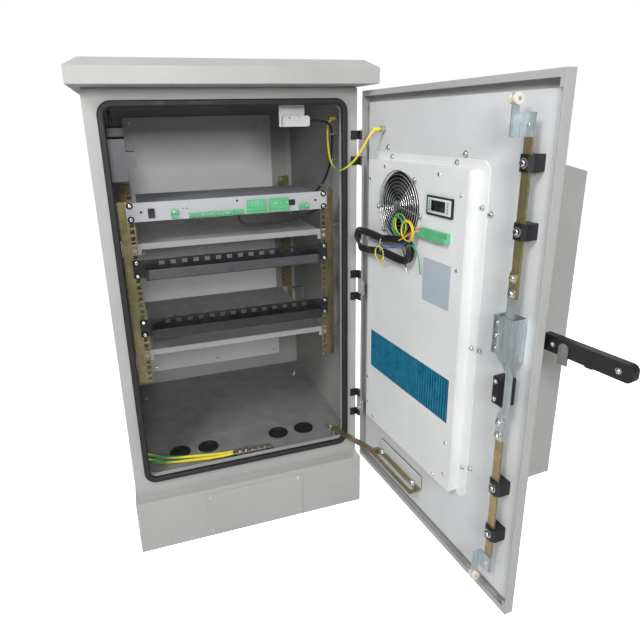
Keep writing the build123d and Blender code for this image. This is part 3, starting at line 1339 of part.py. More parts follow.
FLAP_PIN_IN = 4.0
BASE_T1 = DOOR_T + BASE_T
LEVER_T0 = BASE_T1 + LEVER_STAND
LEVER_T1 = LEVER_T0 + LEVER_T
LEVER_PIN_T = (LEVER_T0 + LEVER_T1) / 2
BOSS_T0 = BASE_T1 + BOSS_GAP
FORK_T0 = BOSS_T0 + FORK_FLOOR


def lift(shape):
    """A piece on the lever turned outwards about the lever's pin, as far as the lever stands off."""
    return shape.rotate(Axis((across(LOCK_S), depth(LEVER_PIN_T), 0), (0, 0, 1)), LEVER_LIFT)


def handle_base():
    """Long escutcheon with a hole for the spindle."""
    outline = round_rect(across(LOCK_S + BASE_W / 2), across(LOCK_S - BASE_W / 2),
                         LOCK_Z - BASE_TAIL, LOCK_Z + BASE_HEAD, BASE_ROUND)
    base = door_slab(outline, DOOR_T, BASE_T1)
    base = fillet(base.faces().sort_by(Axis.Y)[0].edges(), BASE_EDGE)
    return swing(base - spindle_hole(DOOR_T - OVER, BASE_T1 + OVER))


def handle_spindle():
    """Forked boss that carries the lever's pin, with the shaft and cam behind it."""
    cam_t1 = LINER_RECESS - GEARBOX_FOOT_T - CAM_GAP
    boss = door_disc(BOSS_R, BOSS_T0, BOSS_T0 + BOSS_H, LOCK_S, LOCK_Z)
    boss -= door_block(LOCK_S - BOSS_R - OVER, LOCK_S + BOSS_R + OVER, FORK_T0, BOSS_T0 + BOSS_H + OVER,
                       LOCK_Z - FORK_W / 2, LOCK_Z + FORK_W / 2)
    boss += disc_z(LEVER_PIN_R, LOCK_Z - FORK_W / 2, LOCK_Z + FORK_W / 2, across(LOCK_S), depth(LEVER_PIN_T))
    boss += door_disc(SPINDLE_R, cam_t1, BOSS_T0, LOCK_S, LOCK_Z)
    return swing(boss + door_disc(CAM_R, cam_t1 - CAM_T, cam_t1, LOCK_S, LOCK_Z))


def handle_lever():
    """Lever with a tongue on the pin, holes for the lock cylinder and the flap's pin."""
    s0 = LOCK_S + LEVER_START
    s1 = LOCK_S + LEVER_L
    plan = round_rect(across(s1), across(s0), LOCK_Z - LEVER_W / 2, LOCK_Z + LEVER_W / 2, LEVER_ROUND)
    bar = door_slab(plan, LEVER_T0, LEVER_T1)
    bar = fillet(bar.faces().sort_by(Axis.Y)[0].edges(), LEVER_EDGE)
    tongue_z0 = LOCK_Z - FORK_W / 2 + FORK_CLEAR
    tongue_z1 = LOCK_Z + FORK_W / 2 - FORK_CLEAR
    pin_y = depth(LEVER_PIN_T)
    eye = Pos(across(LOCK_S), pin_y) * Circle(TONGUE_R)
    eye += rect(across(s0 + LEVER_ROUND), across(LOCK_S), pin_y - TONGUE_R, pin_y + TONGUE_R)
    eye -= Pos(across(LOCK_S), pin_y) * Circle(LEVER_PIN_R + LEVER_FIT)
    bar += slab_z(eye, tongue_z0, tongue_z1)
    barrel_r = CYLINDER_R + CYLINDER_FIT
    bar -= door_disc(barrel_r, LEVER_T0 - OVER, LEVER_T1 + OVER, LOCK_S + CYLINDER_AT, LOCK_Z)
    flap_pin_r = FLAP_PIN_R + CYLINDER_FIT
    bar -= door_disc(flap_pin_r, LEVER_T0 - OVER, LEVER_T0 + FLAP_PIN_IN, LOCK_S + FLAP_AT, LOCK_Z)
    return swing(lift(bar))


def lock_cylinder():
    """Lock cylinder in the lever, with the key in it and the key's bow hanging."""
    at_s = LOCK_S + CYLINDER_AT
    face_t = LEVER_T1 + CYLINDER_PROUD
    barrel = door_disc(CYLINDER_R, LEVER_T0, face_t, at_s, LOCK_Z)
    shank = door_disc(KEY_SHANK, face_t, face_t + KEY_GAP, at_s, LOCK_Z)
    bow_z0 = LOCK_Z - KEY_HANG
    bow = round_rect(across(at_s + KEY_W / 2), across(at_s - KEY_W / 2), bow_z0, bow_z0 + KEY_H, KEY_ROUND)
    return swing(lift(barrel + shank + door_slab(bow, face_t + KEY_GAP, face_t + KEY_GAP + KEY_T)))


def cylinder_flap():
    """Dust flap that swivels on a pin in the lever's inner face."""
    at_s = LOCK_S + FLAP_AT
    flap_t1 = LEVER_T0 - FLAP_GAP
    radius = FLAP_W / 2
    leaf = Pos(across(at_s), LOCK_Z) * Circle(radius)
    leaf += rect(across(at_s + radius), across(at_s - radius), LOCK_Z - FLAP_HANG, LOCK_Z)
    flap = door_slab(leaf, flap_t1 - FLAP_T, flap_t1)
    return swing(lift(flap + door_disc(FLAP_PIN_R, flap_t1, LEVER_T0 + FLAP_PIN_IN - FLAP_GAP, at_s, LOCK_Z)))


NODES["handle_base"] = handle_base()
NODES["handle_spindle"] = handle_spindle()
NODES["handle_lever"] = handle_lever()
NODES["lock_cylinder"] = lock_cylinder()
NODES["cylinder_flap"] = cylinder_flap()

# Door stay: bracket on the floor, arm and slotted rail on the door
STAY_X = 236.0
STAY_SETBACK = 28.0
STAY_POST_W = 18.0
STAY_POST_T = 3.0
STAY_POST_H = 36.0
STAY_PIN_R = 4.0
STAY_FIT = 0.05
STAY_ARM_W = 18.0
STAY_ARM_T = 3.0
STAY_HEAD_R = 7.0
STAY_HEAD_H = 3.0
STAY_PIN_S = 112.0
STAY_RAIL_GAP = 0.5
STAY_RAIL_T = 3.0
STAY_RAIL_S0 = 98.0
STAY_RAIL_L = 192.0
STAY_RAIL_W = 30.0
STAY_SLOT_W = 11.0
STAY_SLOT_IN = 10.0
STAY_RAIL_LIP = 4.0
STAY_BRACKET_IN = 14.0
STAY_BRACKET_H = 34.0
STAY_BOLT_R = 6.0
STAY_BOLT_H = 4.0
STAY_BOLTS_SHARES = (0.15, 0.87)
STAY_Y = FRONT_Y + STAY_SETBACK
STAY_ARM_Z0 = FLOOR_Z + STAY_POST_H
STAY_ARM_Z1 = STAY_ARM_Z0 + STAY_ARM_T
STAY_RAIL_Z0 = STAY_ARM_Z1 + STAY_RAIL_GAP
STAY_RAIL_Z1 = STAY_RAIL_Z0 + STAY_RAIL_T
STAY_RAIL_T1 = LINER_RECESS - STAY_RAIL_LIP
STAY_RAIL_T0 = STAY_RAIL_T1 - STAY_RAIL_W
STAY_PIN_T = (STAY_RAIL_T0 + STAY_RAIL_T1) / 2


def stay_bracket():
    """Folded post on the floor with the pin that the arm turns on."""
    half_w = STAY_POST_W / 2
    post = block(STAY_X - half_w, STAY_X + half_w, STAY_Y - half_w, STAY_Y + half_w, FLOOR_Z, STAY_ARM_Z0)
    post -= block(STAY_X - half_w - OVER, STAY_X + half_w - STAY_POST_T,
                  STAY_Y - half_w - OVER, STAY_Y + half_w + OVER,
                  FLOOR_Z + STAY_POST_T, STAY_ARM_Z0 - STAY_POST_T)
    head_z = STAY_ARM_Z1 + STAY_RAIL_GAP
    post += disc_z(STAY_PIN_R, STAY_ARM_Z0, head_z, STAY_X, STAY_Y)
    return post + disc_z(STAY_HEAD_R, head_z, head_z + STAY_HEAD_H, STAY_X, STAY_Y)


def stay_arm():
    """Flat arm from the bracket's pin to the rail, with a bolt at its far end."""
    pivot = Vector(PIVOT_X, PIVOT_Y, 0)
    far = (Vector(across(STAY_PIN_S), depth(STAY_PIN_T), 0) - pivot).rotate(Axis.Z, DOOR_OPEN) + pivot
    reach = far - Vector(STAY_X, STAY_Y, 0)
    turn = math.degrees(math.atan2(reach.Y, reach.X))
    near = Pos(STAY_X, STAY_Y)
    bar = Pos(reach.length / 2, 0) * SlotCenterToCenter(reach.length, STAY_ARM_W)
    outline = near * (Rot(0, 0, turn) * bar - Circle(STAY_PIN_R + STAY_FIT))
    arm = slab_z(outline, STAY_ARM_Z0, STAY_ARM_Z1)
    return arm + disc_z(STAY_HEAD_R, STAY_ARM_Z0 - STAY_HEAD_H, STAY_ARM_Z0, far.X, far.Y)


def stay_rail():
    """Slotted rail for the arm's end, bolted under an angle bracket on the liner."""
    s1 = STAY_RAIL_S0 + STAY_RAIL_L
    rail = door_block(STAY_RAIL_S0, s1, STAY_RAIL_T0, STAY_RAIL_T1, STAY_RAIL_Z0, STAY_RAIL_Z1)
    rail -= door_block(STAY_RAIL_S0 + STAY_SLOT_IN, s1 - STAY_SLOT_IN, STAY_PIN_T - STAY_SLOT_W / 2,
                       STAY_PIN_T + STAY_SLOT_W / 2, STAY_RAIL_Z0 - OVER, STAY_RAIL_Z1 + OVER)
    bracket_s0 = STAY_RAIL_S0 + STAY_BRACKET_IN
    top_z = STAY_RAIL_Z1 + STAY_RAIL_T
    bracket = door_block(bracket_s0, s1, STAY_PIN_T + STAY_SLOT_W / 2, LINER_RECESS, STAY_RAIL_Z1, top_z)
    bracket += door_block(bracket_s0, s1, LINER_RECESS - STAY_RAIL_T, LINER_RECESS, STAY_RAIL_Z1,
                          STAY_RAIL_Z1 + STAY_BRACKET_H)
    solids = [rail, bracket]
    bolt_y = depth((STAY_PIN_T + STAY_SLOT_W / 2 + LINER_RECESS - STAY_RAIL_T) / 2)
    for share in STAY_BOLTS_SHARES:
        head = Pos(across(STAY_RAIL_S0 + share * STAY_RAIL_L), bolt_y) * RegularPolygon(STAY_BOLT_R, 6)
        solids.append(slab_z(head, top_z, top_z + STAY_BOLT_H))
    return swing(group(solids))


NODES["stay_bracket"] = stay_bracket()
NODES["stay_arm"] = stay_arm()
NODES["stay_rail"] = stay_rail()

# Cords: their routes, with y measured from the front plane
CABLE_R = 3.0
EARTH_CABLE_R = 4.5
STRAP_R = 2.5
WALL_CABLE_ROUTE = [(192, 33, 1049), (214, 33, 1049), (240, 46, 1047), (262, 74, 1036), (277, 106, 1010),
                    (284, 128, 972), (283, 144, 928), (271, 160, 890), (256, 171, 868), (238, 176, 858),
                    (215, 176, 858)]
UNIT_CABLE_ROUTE = [(14, 48.5, 839.1), (14, 48.5, 828), (19.5, 48.3, 818.5), (29, 48, 813), (46, 47, 810.5),
                    (76, 46, 809.5), (116, 46.5, 811), (160, 49, 817), (194, 58, 826), (222, 71, 834),
                    (243, 75, 838), (257, 75, 838)]
EARTH_CABLE_ROUTES = [
    [(-44.5, 25.2, 200), (-66, 25.2, 200), (-102, 33, 196), (-150, 46, 192), (-200, 54, 193), (-242, 56, 203),
     (-270, 56, 216), (-283, 56, 219), (-298, 56, 219)],
    [(-44.5, 34.8, 200), (-64, 34.8, 200), (-98, 46, 196), (-144, 62, 192), (-194, 72, 193), (-240, 74, 205),
     (-269, 74, 220), (-282, 74, 224), (-298, 74, 224)],
]
DOOR_STRAP_ROUTE = [(288, 103, 1054), (279, 103, 1054), (270, 102.5, 1049), (264, 101, 1039), (260, 95, 1016),
                    (256, 78, 985), (250, 50, 957), (246, 16, 940), (246, -20, 936), (251, -52, 944),
                    (260, -82, 962), (269, -103, 988), (278, -113.6, 1011), (286.5, -115.4, 1023),
                    (297.1, -114.4, 1029), (307, -113.53, 1029)]
BEND_SHARE = 0.45
STRAP_LUG_R = 6.0
STRAP_LUG_L = 12.0
STRAP_LUG_S = 94.0
STRAP_LUG_Z = 1029.0
HANK_L = 240.0
HANK_W = 60.0
HANK_T = 15.0
HANK_ASIDE = 44.0
HANK_DROP = 89.0
HANK_TURN = -3.0
HANK_GAP = 0.5
HANK_S = FAN_S - HANK_ASIDE
HANK_Z = FAN_Z - HANK_DROP


def bend_radii(points):
    """The largest bend at each inner point of a route that its two runs leave room for."""
    radii = []
    for before, here, after in zip(points, points[1:], points[2:]):
        run_in = here - before
        run_out = after - here
        half_turn = math.radians(run_in.get_angle(run_out)) / 2
        radii.append(BEND_SHARE * min(run_in.length, run_out.length) / math.tan(half_turn))
    return radii


def cord(name, route, radius):
    """A round cord along a route of straight runs joined by tangent bends."""
    points = [Vector(x, FRONT_Y + y, z) for x, y, z in route]
    radii = bend_radii(points)
    path = FilletPolyline(*points, radius=radii)
    tube = sweep((path ^ 0) * Circle(radius), path=path)
    share = tube.volume / (math.pi * radius ** 2 * path.length)
    print(name, "bends", [round(r, 1) for r in radii], "volume share", round(share, 4))
    return tube


def exchanger_hank():
    """Hank of spare cable tied flat in front of the exchanger's plate."""
    outline = Pos(across(HANK_S), HANK_Z) * Rot(0, 0, HANK_TURN) * SlotOverall(HANK_L, HANK_W)
    return swing(door_slab(outline, GUARD_T0 - HANK_GAP - HANK_T, GUARD_T0 - HANK_GAP))


def door_earth_lug():
    """Earth stud on the door's liner, where the strap ends."""
    return swing(door_disc(STRAP_LUG_R, LINER_RECESS - STRAP_LUG_L, LINER_RECESS, STRAP_LUG_S, STRAP_LUG_Z))


NODES["wall_cable"] = cord("wall_cable", WALL_CABLE_ROUTE, CABLE_R)
NODES["unit_cable"] = cord("unit_cable", UNIT_CABLE_ROUTE, CABLE_R)
NODES["earth_cables"] = group([cord("earth_cable", route, EARTH_CABLE_R) for route in EARTH_CABLE_ROUTES])
NODES["door_earth_strap"] = cord("door_earth_strap", DOOR_STRAP_ROUTE, STRAP_R)
NODES["door_earth_lug"] = door_earth_lug()
NODES["exchanger_hank"] = exchanger_hank()

os.makedirs("parts", exist_ok=True)
for node, shape in NODES.items():
    export_step(shape, os.path.join("parts", node + ".step"))
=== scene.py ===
"""Roadside equipment cabinet with its door open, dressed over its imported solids.

Metres, +Z up, in the solids' own frame: the front faces -Y and the hinges are at +X.
"""
import math

import bpy
from mathutils import Matrix, Vector


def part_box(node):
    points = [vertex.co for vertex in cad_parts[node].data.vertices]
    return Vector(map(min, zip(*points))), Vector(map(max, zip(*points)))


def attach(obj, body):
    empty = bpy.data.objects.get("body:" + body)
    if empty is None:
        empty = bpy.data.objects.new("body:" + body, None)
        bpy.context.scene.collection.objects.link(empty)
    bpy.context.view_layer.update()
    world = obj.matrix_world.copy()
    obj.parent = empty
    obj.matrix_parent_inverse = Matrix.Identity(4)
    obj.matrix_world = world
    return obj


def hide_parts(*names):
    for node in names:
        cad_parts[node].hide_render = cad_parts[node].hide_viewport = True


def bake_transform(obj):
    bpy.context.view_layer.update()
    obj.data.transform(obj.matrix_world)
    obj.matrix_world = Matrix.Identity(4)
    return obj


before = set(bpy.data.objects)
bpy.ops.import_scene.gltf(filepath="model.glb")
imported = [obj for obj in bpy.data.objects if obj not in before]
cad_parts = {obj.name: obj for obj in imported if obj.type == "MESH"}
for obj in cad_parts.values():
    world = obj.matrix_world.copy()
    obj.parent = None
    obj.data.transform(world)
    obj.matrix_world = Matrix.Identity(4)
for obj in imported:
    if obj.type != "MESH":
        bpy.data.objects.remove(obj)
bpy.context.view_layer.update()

# Studio: a pale floor under soft overhead light, seen by an eye that stands in front of the
# cabinet's left half, a little above its middle, and looks down to the right.
EYE = Vector((-0.2258, -1.4981, 1.0498))
YAW = math.radians(17.9)
PITCH = math.radians(17.65)
ROLL = math.radians(-1.29)
bpy.ops.object.select_all(action="DESELECT")
bpy.ops.object.camera_add(location=EYE)
camera = bpy.context.object
camera.data.sensor_width = 36.0
camera.data.lens = 30.28
camera.data.shift_x = 0.0174
camera.data.shift_y = -0.0439
forward = Vector((math.sin(YAW) * math.cos(PITCH), math.cos(YAW) * math.cos(PITCH), -math.sin(PITCH)))
level = Vector((math.cos(YAW), -math.sin(YAW), 0.0))
upright = level.cross(forward)
across_view = math.cos(ROLL) * level + math.sin(ROLL) * upright
up_view = math.cos(ROLL) * upright - math.sin(ROLL) * level
turn = Matrix((across_view, up_view, -forward)).transposed()
camera.matrix_world = Matrix.Translation(EYE) @ turn.to_4x4()
bpy.context.scene.camera = camera
bpy.context.scene.view_settings.view_transform = "Standard"


def hang_lamp(name, place, aim, size, power):
    """A square soft box that looks at a point."""
    bpy.ops.object.light_add(type="AREA", location=place)
    lamp = bpy.context.object
    lamp.name = name
    lamp.data.size = size
    lamp.data.energy = power
    lamp.rotation_euler = (Vector(aim) - Vector(place)).to_track_quat("-Z", "Y").to_euler()


hang_lamp("key_lamp", (-1.5, -1.75, 2.4), (0.1, -0.2, 0.75), 0.8, 40.0)
hang_lamp("front_lamp", (-0.25, -2.6, 1.55), (0.0, 0.2, 0.75), 0.5, 30.0)
hang_lamp("top_lamp", (0.2, -0.5, 3.0), (0.1, -0.1, 1.0), 2.2, 13.0)
hang_lamp("back_lamp", (1.9, 1.7, 2.2), (0.2, 0.0, 0.7), 1.4, 38.0)


def feed(tree, node, feeds):
    """Set a node's inputs; each feed is a number, a colour or another node's output."""
    for socket, value in feeds.items():
        if isinstance(value, bpy.types.NodeSocket):
            tree.links.new(value, node.inputs[socket])
        else:
            node.inputs[socket].default_value = value


def place_node(tree, kind, feeds=None, **settings):
    """Add a shader node with its settings and feeds."""
    node = tree.nodes.new("ShaderNode" + kind)
    for key, value in settings.items():
        setattr(node, key, value)
    feed(tree, node, feeds or {})
    return node


def spread(tree, value, low, high, from_low=0.0, from_high=1.0):
    """A value stretched from one range to another and held inside it."""
    return place_node(tree, "MapRange", {"Value": value, "From Min": from_low, "From Max": from_high,
                                         "To Min": low, "To Max": high}).outputs["Result"]


def seen_glow(tree, low, high):
    """A glow that is high to the eye and low to the pieces it lights."""
    return spread(tree, place_node(tree, "LightPath").outputs["Is Camera Ray"], low, high)


def shader_of(finish):
    """A material's shader."""
    return finish.node_tree.nodes["Principled BSDF"]


WHITE = (1.0, 1.0, 1.0, 1.0)
backdrop = bpy.data.worlds.new("backdrop")
backdrop.use_nodes = True
sky = backdrop.node_tree
feed(sky, sky.nodes["Background"], {"Color": WHITE, "Strength": seen_glow(sky, 0.2, 1.0)})
bpy.context.scene.world = backdrop

bpy.ops.mesh.primitive_plane_add(size=16.0)
ground = bpy.context.object
ground.name = "pale_floor"
paper = bpy.data.materials.new("pale_floor")
paper.use_nodes = True
feed(paper.node_tree, shader_of(paper), {
    "Base Color": (0.80, 0.80, 0.80, 1.0), "Roughness": 0.9, "Emission Color": WHITE,
    "Emission Strength": seen_glow(paper.node_tree, 0.02, 0.95)})
ground.data.materials.append(paper)

# Plinth and access panel: folded 3 mm steel with a textured light-grey powder coat. The panel
# laps over a cable opening and is held by four pan-head screws.


def reckon(tree, operation, *values, kind="Math"):
    """Numbers or vectors put through one operation."""
    return place_node(tree, kind, dict(enumerate(values)), operation=operation).outputs["Value"]


def blend_colours(tree, share, first, second, mode="MIX"):
    """Two colours mixed by a share."""
    feeds = {0: share, 6: first, 7: second}
    return place_node(tree, "Mix", feeds, data_type="RGBA", blend_type=mode).outputs[2]


def noise(tree, vector, scale, detail=2.0, distortion=0.0):
    """A soft noise value over the piece's own coordinates."""
    return place_node(tree, "TexNoise", {"Vector": vector, "Scale": scale, "Detail": detail,
                                         "Distortion": distortion}).outputs["Fac"]


SKIN_OUTPUTS = {"Colour": "Color", "Roughness": "Float", "Height": "Float"}


def start_group(name, inputs, outputs=SKIN_OUTPUTS):
    """An empty shader group, its sockets given by name and kind; gives its tree and what enters it."""
    tree = bpy.data.node_groups.new(name, "ShaderNodeTree")
    for side, sockets in (("INPUT", inputs), ("OUTPUT", outputs)):
        for label, kind in sockets.items():
            tree.interface.new_socket(label, in_out=side, socket_type="NodeSocket" + kind)
    return tree, tree.nodes.new("NodeGroupInput").outputs


def end_group(tree, *results):
    """Link a group's results to its outputs, in their order."""
    for socket, result in zip(tree.nodes.new("NodeGroupOutput").inputs, results):
        tree.links.new(result, socket)


peel, entry = start_group("powder_skin", {"Vector": "Vector", "Colour": "Color"})
fine = noise(peel, entry["Vector"], 700.0, 3.0)
clouds = noise(peel, entry["Vector"], 7.0, 4.0)
pits = place_node(peel, "TexVoronoi", {"Vector": entry["Vector"], "Scale": 420.0}).outputs["Distance"]
shade = reckon(peel, "MULTIPLY", spread(peel, fine, 0.93, 1.04, 0.3, 0.7),
               spread(peel, clouds, 0.96, 1.04, 0.3, 0.7))
toned = place_node(peel, "HueSaturation", {"Color": entry["Colour"], "Value": shade}).outputs["Color"]
end_group(peel, toned, spread(peel, clouds, 0.38, 0.56, 0.3, 0.7), reckon(peel, "ADD", fine, pits))

edge, entry = start_group("eased_edge", {"Radius": "Float"}, {"Normal": "Vector", "Rub": "Float"})
round_over = place_node(edge, "Bevel", {"Radius": entry["Radius"]}, samples=4).outputs["Normal"]
flat = place_node(edge, "NewGeometry").outputs["Normal"]
agree = reckon(edge, "DOT_PRODUCT", round_over, flat, kind="VectorMath")
end_group(edge, round_over, spread(edge, agree, 1.0, 0.0, 0.72, 0.98))

dust, entry = start_group("settled_dust", {"Vector": "Vector", "Amount": "Float"}, {"Mask": "Float"})
looks = place_node(dust, "NewGeometry").outputs["Normal"]
lie = place_node(dust, "SeparateXYZ", {"Vector": looks}).outputs["Z"]
film = noise(dust, entry["Vector"], 22.0, 5.0)
patchy = reckon(dust, "MULTIPLY", spread(dust, lie, 0.0, 1.0, 0.55, 0.95),
                spread(dust, film, 0.2, 1.0, 0.35, 0.7))
end_group(dust, reckon(dust, "MULTIPLY", patchy, entry["Amount"]))


def start_finish(name):
    """A new material; gives it, its tree and the piece's own coordinates."""
    finish = bpy.data.materials.new(name)
    finish.use_nodes = True
    tree = finish.node_tree
    return finish, tree, place_node(tree, "TexCoord").outputs["Object"]


def use_group(tree, group, feeds):
    """A shared effect placed in a material."""
    return place_node(tree, "Group", feeds, node_tree=group).outputs


def wear_edges(tree, skin, radius, rub, rubbed):
    """A skin's colour with its edges rubbed to another, and the normal that rounds them over."""
    eased = use_group(tree, edge, {"Radius": radius})
    worn = blend_colours(tree, spread(tree, eased["Rub"], 0.0, rub), skin["Colour"], (*rubbed, 1.0))
    return worn, eased["Normal"]


def end_finish(finish, skin, tone, strength, depth, normal=None, metallic=0.0):
    """Feed a tone and a skin's roughness and grain into the shader."""
    tree = finish.node_tree
    bump = place_node(tree, "Bump", {"Height": skin["Height"], "Strength": strength, "Distance": depth})
    if normal is not None:
        tree.links.new(normal, bump.inputs["Normal"])
    feed(tree, shader_of(finish), {"Base Color": tone, "Roughness": skin["Roughness"],
                                   "Metallic": metallic, "Normal": bump.outputs["Normal"]})
    return finish


def powder_coat(name, colour, edge_radius=0.0012, dusty=0.25):
    """Textured powder coat with eased, lightly rubbed edges and a film of dust on level faces."""
    finish, tree, where = start_finish(name)
    skin = use_group(tree, peel, {"Vector": where, "Colour": (*colour, 1.0)})
    rubbed = [min(1.0, 1.16 * part) for part in colour]
    worn, rounded = wear_edges(tree, skin, edge_radius, 0.6, rubbed)
    film = use_group(tree, dust, {"Vector": where, "Amount": dusty})
    dulled = blend_colours(tree, film["Mask"], worn, (0.52, 0.50, 0.46, 1.0))
    return end_finish(finish, skin, dulled, 0.16, 0.0006, rounded)


def dress(finish, *nodes):
    """Give solids their finish."""
    for name in nodes:
        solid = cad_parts[name]
        if not solid.material_slots:
            solid.data.materials.append(finish)
        for slot in solid.material_slots:
            slot.material = finish


shell_coat = powder_coat("shell_powder_coat", (0.42, 0.42, 0.413))
dress(shell_coat, "plinth", "plinth_access_panel")


UP = Vector((0.0, 0.0, 1.0))
FRONT = Vector((0.0, -1.0, 0.0))


def select_only(piece):
    """Leave one piece selected and active."""
    bpy.ops.object.select_all(action="DESELECT")
    piece.select_set(True)
    bpy.context.view_layer.objects.active = piece


def add_block(name, low, high, ease=0.0, steps=2):
    """A squared blank between two corners, its edges eased."""
    bpy.ops.object.select_all(action="DESELECT")
    middle = [(a + b) / 2 for a, b in zip(low, high)]
    size = [b - a for a, b in zip(low, high)]
    bpy.ops.mesh.primitive_cube_add(size=1.0, location=middle)
    blank = bpy.context.object
    blank.name = name
    blank.scale = size
    bpy.ops.object.transform_apply(location=True, rotation=True, scale=True)
    if ease:
        ease_edges(blank, ease, steps)
    return blank


def ease_edges(piece, width, steps=2):
    """Round a piece's sharp edges."""
    bpy.context.view_layer.objects.active = piece
    rounding = piece.modifiers.new("eased", "BEVEL")
    rounding.width = width
    rounding.segments = steps
    rounding.limit_method = "ANGLE"
    bpy.ops.object.modifier_apply(modifier=rounding.name)


def add_round(name, radius, low, high, sides=32, taper=1.0, ease=0.0, steps=2, place=None):
    """A turned blank along Z from low to high, its edges eased, on the origin or set by a matrix."""
    bpy.ops.object.select_all(action="DESELECT")
    bpy.ops.mesh.primitive_cone_add(vertices=sides, radius1=radius, radius2=radius * taper,
                                    depth=high - low, location=(0.0, 0.0, (low + high) / 2))
    blank = bpy.context.object
    blank.name = name
    bpy.ops.object.transform_apply(location=True, rotation=True, scale=True)
    if ease:
        ease_edges(blank, ease, steps)
    if place is not None:
        blank.matrix_world = place
    return blank


def pick_faces(piece, axis):
    """Enter edit mode with only those faces selected that look along an axis."""
    bpy.context.view_layer.objects.active = piece
    bpy.ops.object.mode_set(mode="EDIT")
    bpy.ops.mesh.select_mode(type="FACE")
    bpy.ops.mesh.select_all(action="DESELECT")
    bpy.ops.object.mode_set(mode="OBJECT")
    for face in piece.data.polygons:
        face.select = face.normal.dot(axis) > 0.9
    bpy.ops.object.mode_set(mode="EDIT")


def smooth(piece, angle=35.0):
    """Smooth a piece but for its sharp edges."""
    select_only(piece)
    bpy.ops.object.shade_smooth_by_angle(angle=math.radians(angle))
    return piece


def copies(pattern, name, places):
    """Copies of one pattern, each turned and set by a matrix, joined to one piece."""
    made = []
    for place in places:
        twin = pattern.copy()
        twin.data = pattern.data.copy()
        bpy.context.collection.objects.link(twin)
        twin.matrix_world = place
        made.append(twin)
    return join(name, made)


def join(name, parts):
    """Several meshes as one piece, its place in its mesh."""
    bpy.ops.object.select_all(action="DESELECT")
    for part in parts:
        part.select_set(True)
    bpy.context.view_layer.objects.active = parts[0]
    bpy.ops.object.transform_apply(location=True, rotation=True, scale=True)
    if len(parts) > 1:
        bpy.ops.object.join()
    whole = bpy.context.object
    whole.name = name
    return whole


def fit(piece, finish, body):
    """Finish a new piece and fix it to its body."""
    piece.data.materials.clear()
    piece.data.materials.append(finish)
    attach(piece, body)
    return piece


def streaks(tree, vector, scale):
    """Noise drawn out along one axis."""
    stretched = place_node(tree, "Mapping", {"Vector": vector, "Scale": scale}).outputs["Vector"]
    return noise(tree, stretched, 1.0)


metal, entry = start_group("drawn_metal", {"Vector": "Vector", "Colour": "Color", "Stain": "Color"})
tarnish = noise(metal, entry["Vector"], 60.0, 4.0, 0.4)
stained = blend_colours(metal, spread(metal, tarnish, 0.0, 0.7, 0.45, 0.75), entry["Colour"], entry["Stain"])
end_group(metal, stained, spread(metal, tarnish, 0.16, 0.36, 0.3, 0.7),
          streaks(metal, entry["Vector"], (300.0, 300.0, 2600.0)))


def bright_metal(name, colour, stain):
    """Plated or bare metal, faintly stained and scratched."""
    finish, tree, where = start_finish(name)
    skin = use_group(tree, metal, {"Vector": where, "Colour": (*colour, 1.0), "Stain": (*stain, 1.0)})
    return end_finish(finish, skin, skin["Colour"], 0.1, 0.0003, metallic=1.0)


screw_steel = bright_metal("plated_screw_steel", (0.72, 0.72, 0.70), (0.42, 0.41, 0.38))


def pan_screw(name, radius, height):
    """A pan-head screw with a cross recess, its seat on the origin and its head towards +Z."""
    head = add_round(name, radius, 0.0, height, 24, 0.82)
    pick_faces(head, UP)
    bpy.ops.mesh.bevel(offset=height * 0.35, segments=3, affect="EDGES")
    bpy.ops.object.mode_set(mode="OBJECT")
    arm = radius * 0.55
    slit = radius * 0.13
    for size in ((arm, slit), (slit, arm)):
        cutter = add_block("recess", (-size[0], -size[1], height * 0.45), (size[0], size[1], height * 1.4))
        cut = head.modifiers.new("recess", "BOOLEAN")
        cut.operation = "DIFFERENCE"
        cut.object = cutter
        bpy.context.view_layer.objects.active = head
        bpy.ops.object.modifier_apply(modifier=cut.name)
        bpy.data.objects.remove(cutter)
    return smooth(head)


def facing(place, direction, spin=0.0):
    """A matrix that sets +Z along a direction at a place."""
    tilt = Vector(direction).to_track_quat("Z", "Y").to_matrix().to_4x4()
    return Matrix.Translation(place) @ tilt @ Matrix.Rotation(math.radians(spin), 4, "Z")


def front_screws(name, pattern, seats, turn, start=0.0, scale=1.0):
    """Screw heads that look to the front, each turned further than the one before."""
    return copies(pattern, name, [facing(seat, FRONT, start + turn * i) @ Matrix.Scale(scale, 4)
                                  for i, seat in enumerate(seats)])


SCREW_R = 0.005
SCREW_H = 0.0016
PANEL_SCREW_IN = 0.012
panel_low, panel_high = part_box("plinth_access_panel")
screw_pattern = pan_screw("screw_pattern", SCREW_R, SCREW_H)
panel_seats = [(x, panel_low.y, z) for x in (panel_low.x + PANEL_SCREW_IN, panel_high.x - PANEL_SCREW_IN)
               for z in (panel_low.z + PANEL_SCREW_IN, panel_high.z - PANEL_SCREW_IN)]
fit(front_screws("access_panel_screws", screw_pattern, panel_seats, 35, 20), screw_steel, "cabinet")

# Front frame, walls, top and rain roof: folded sheet, spot-welded to one body and powder-coated
# together. The roof is a hipped tray that stands on the body and overhangs it.
dress(shell_coat, "front_frame", "right_side_panel", "left_side_panel", "rear_panel", "top_plate", "roof")

# Door seal: a black foamed-rubber strip, moulded round the opening's edge, with a soft matt skin.
moulded, entry = start_group("moulded_skin", {"Vector": "Vector", "Colour": "Color", "Bloom": "Color",
                                              "Grain Scale": "Float", "Dull": "Float"})
handled = noise(moulded, entry["Vector"], 38.0, 5.0, 0.5)
patches = spread(moulded, handled, 0.0, 0.55, 0.45, 0.8)
bloomed = blend_colours(moulded, patches, entry["Colour"], entry["Bloom"])
dulling = reckon(moulded, "ADD", entry["Dull"], spread(moulded, handled, -0.08, 0.14, 0.3, 0.7))
end_group(moulded, bloomed, dulling, noise(moulded, entry["Vector"], entry["Grain Scale"], 3.0))


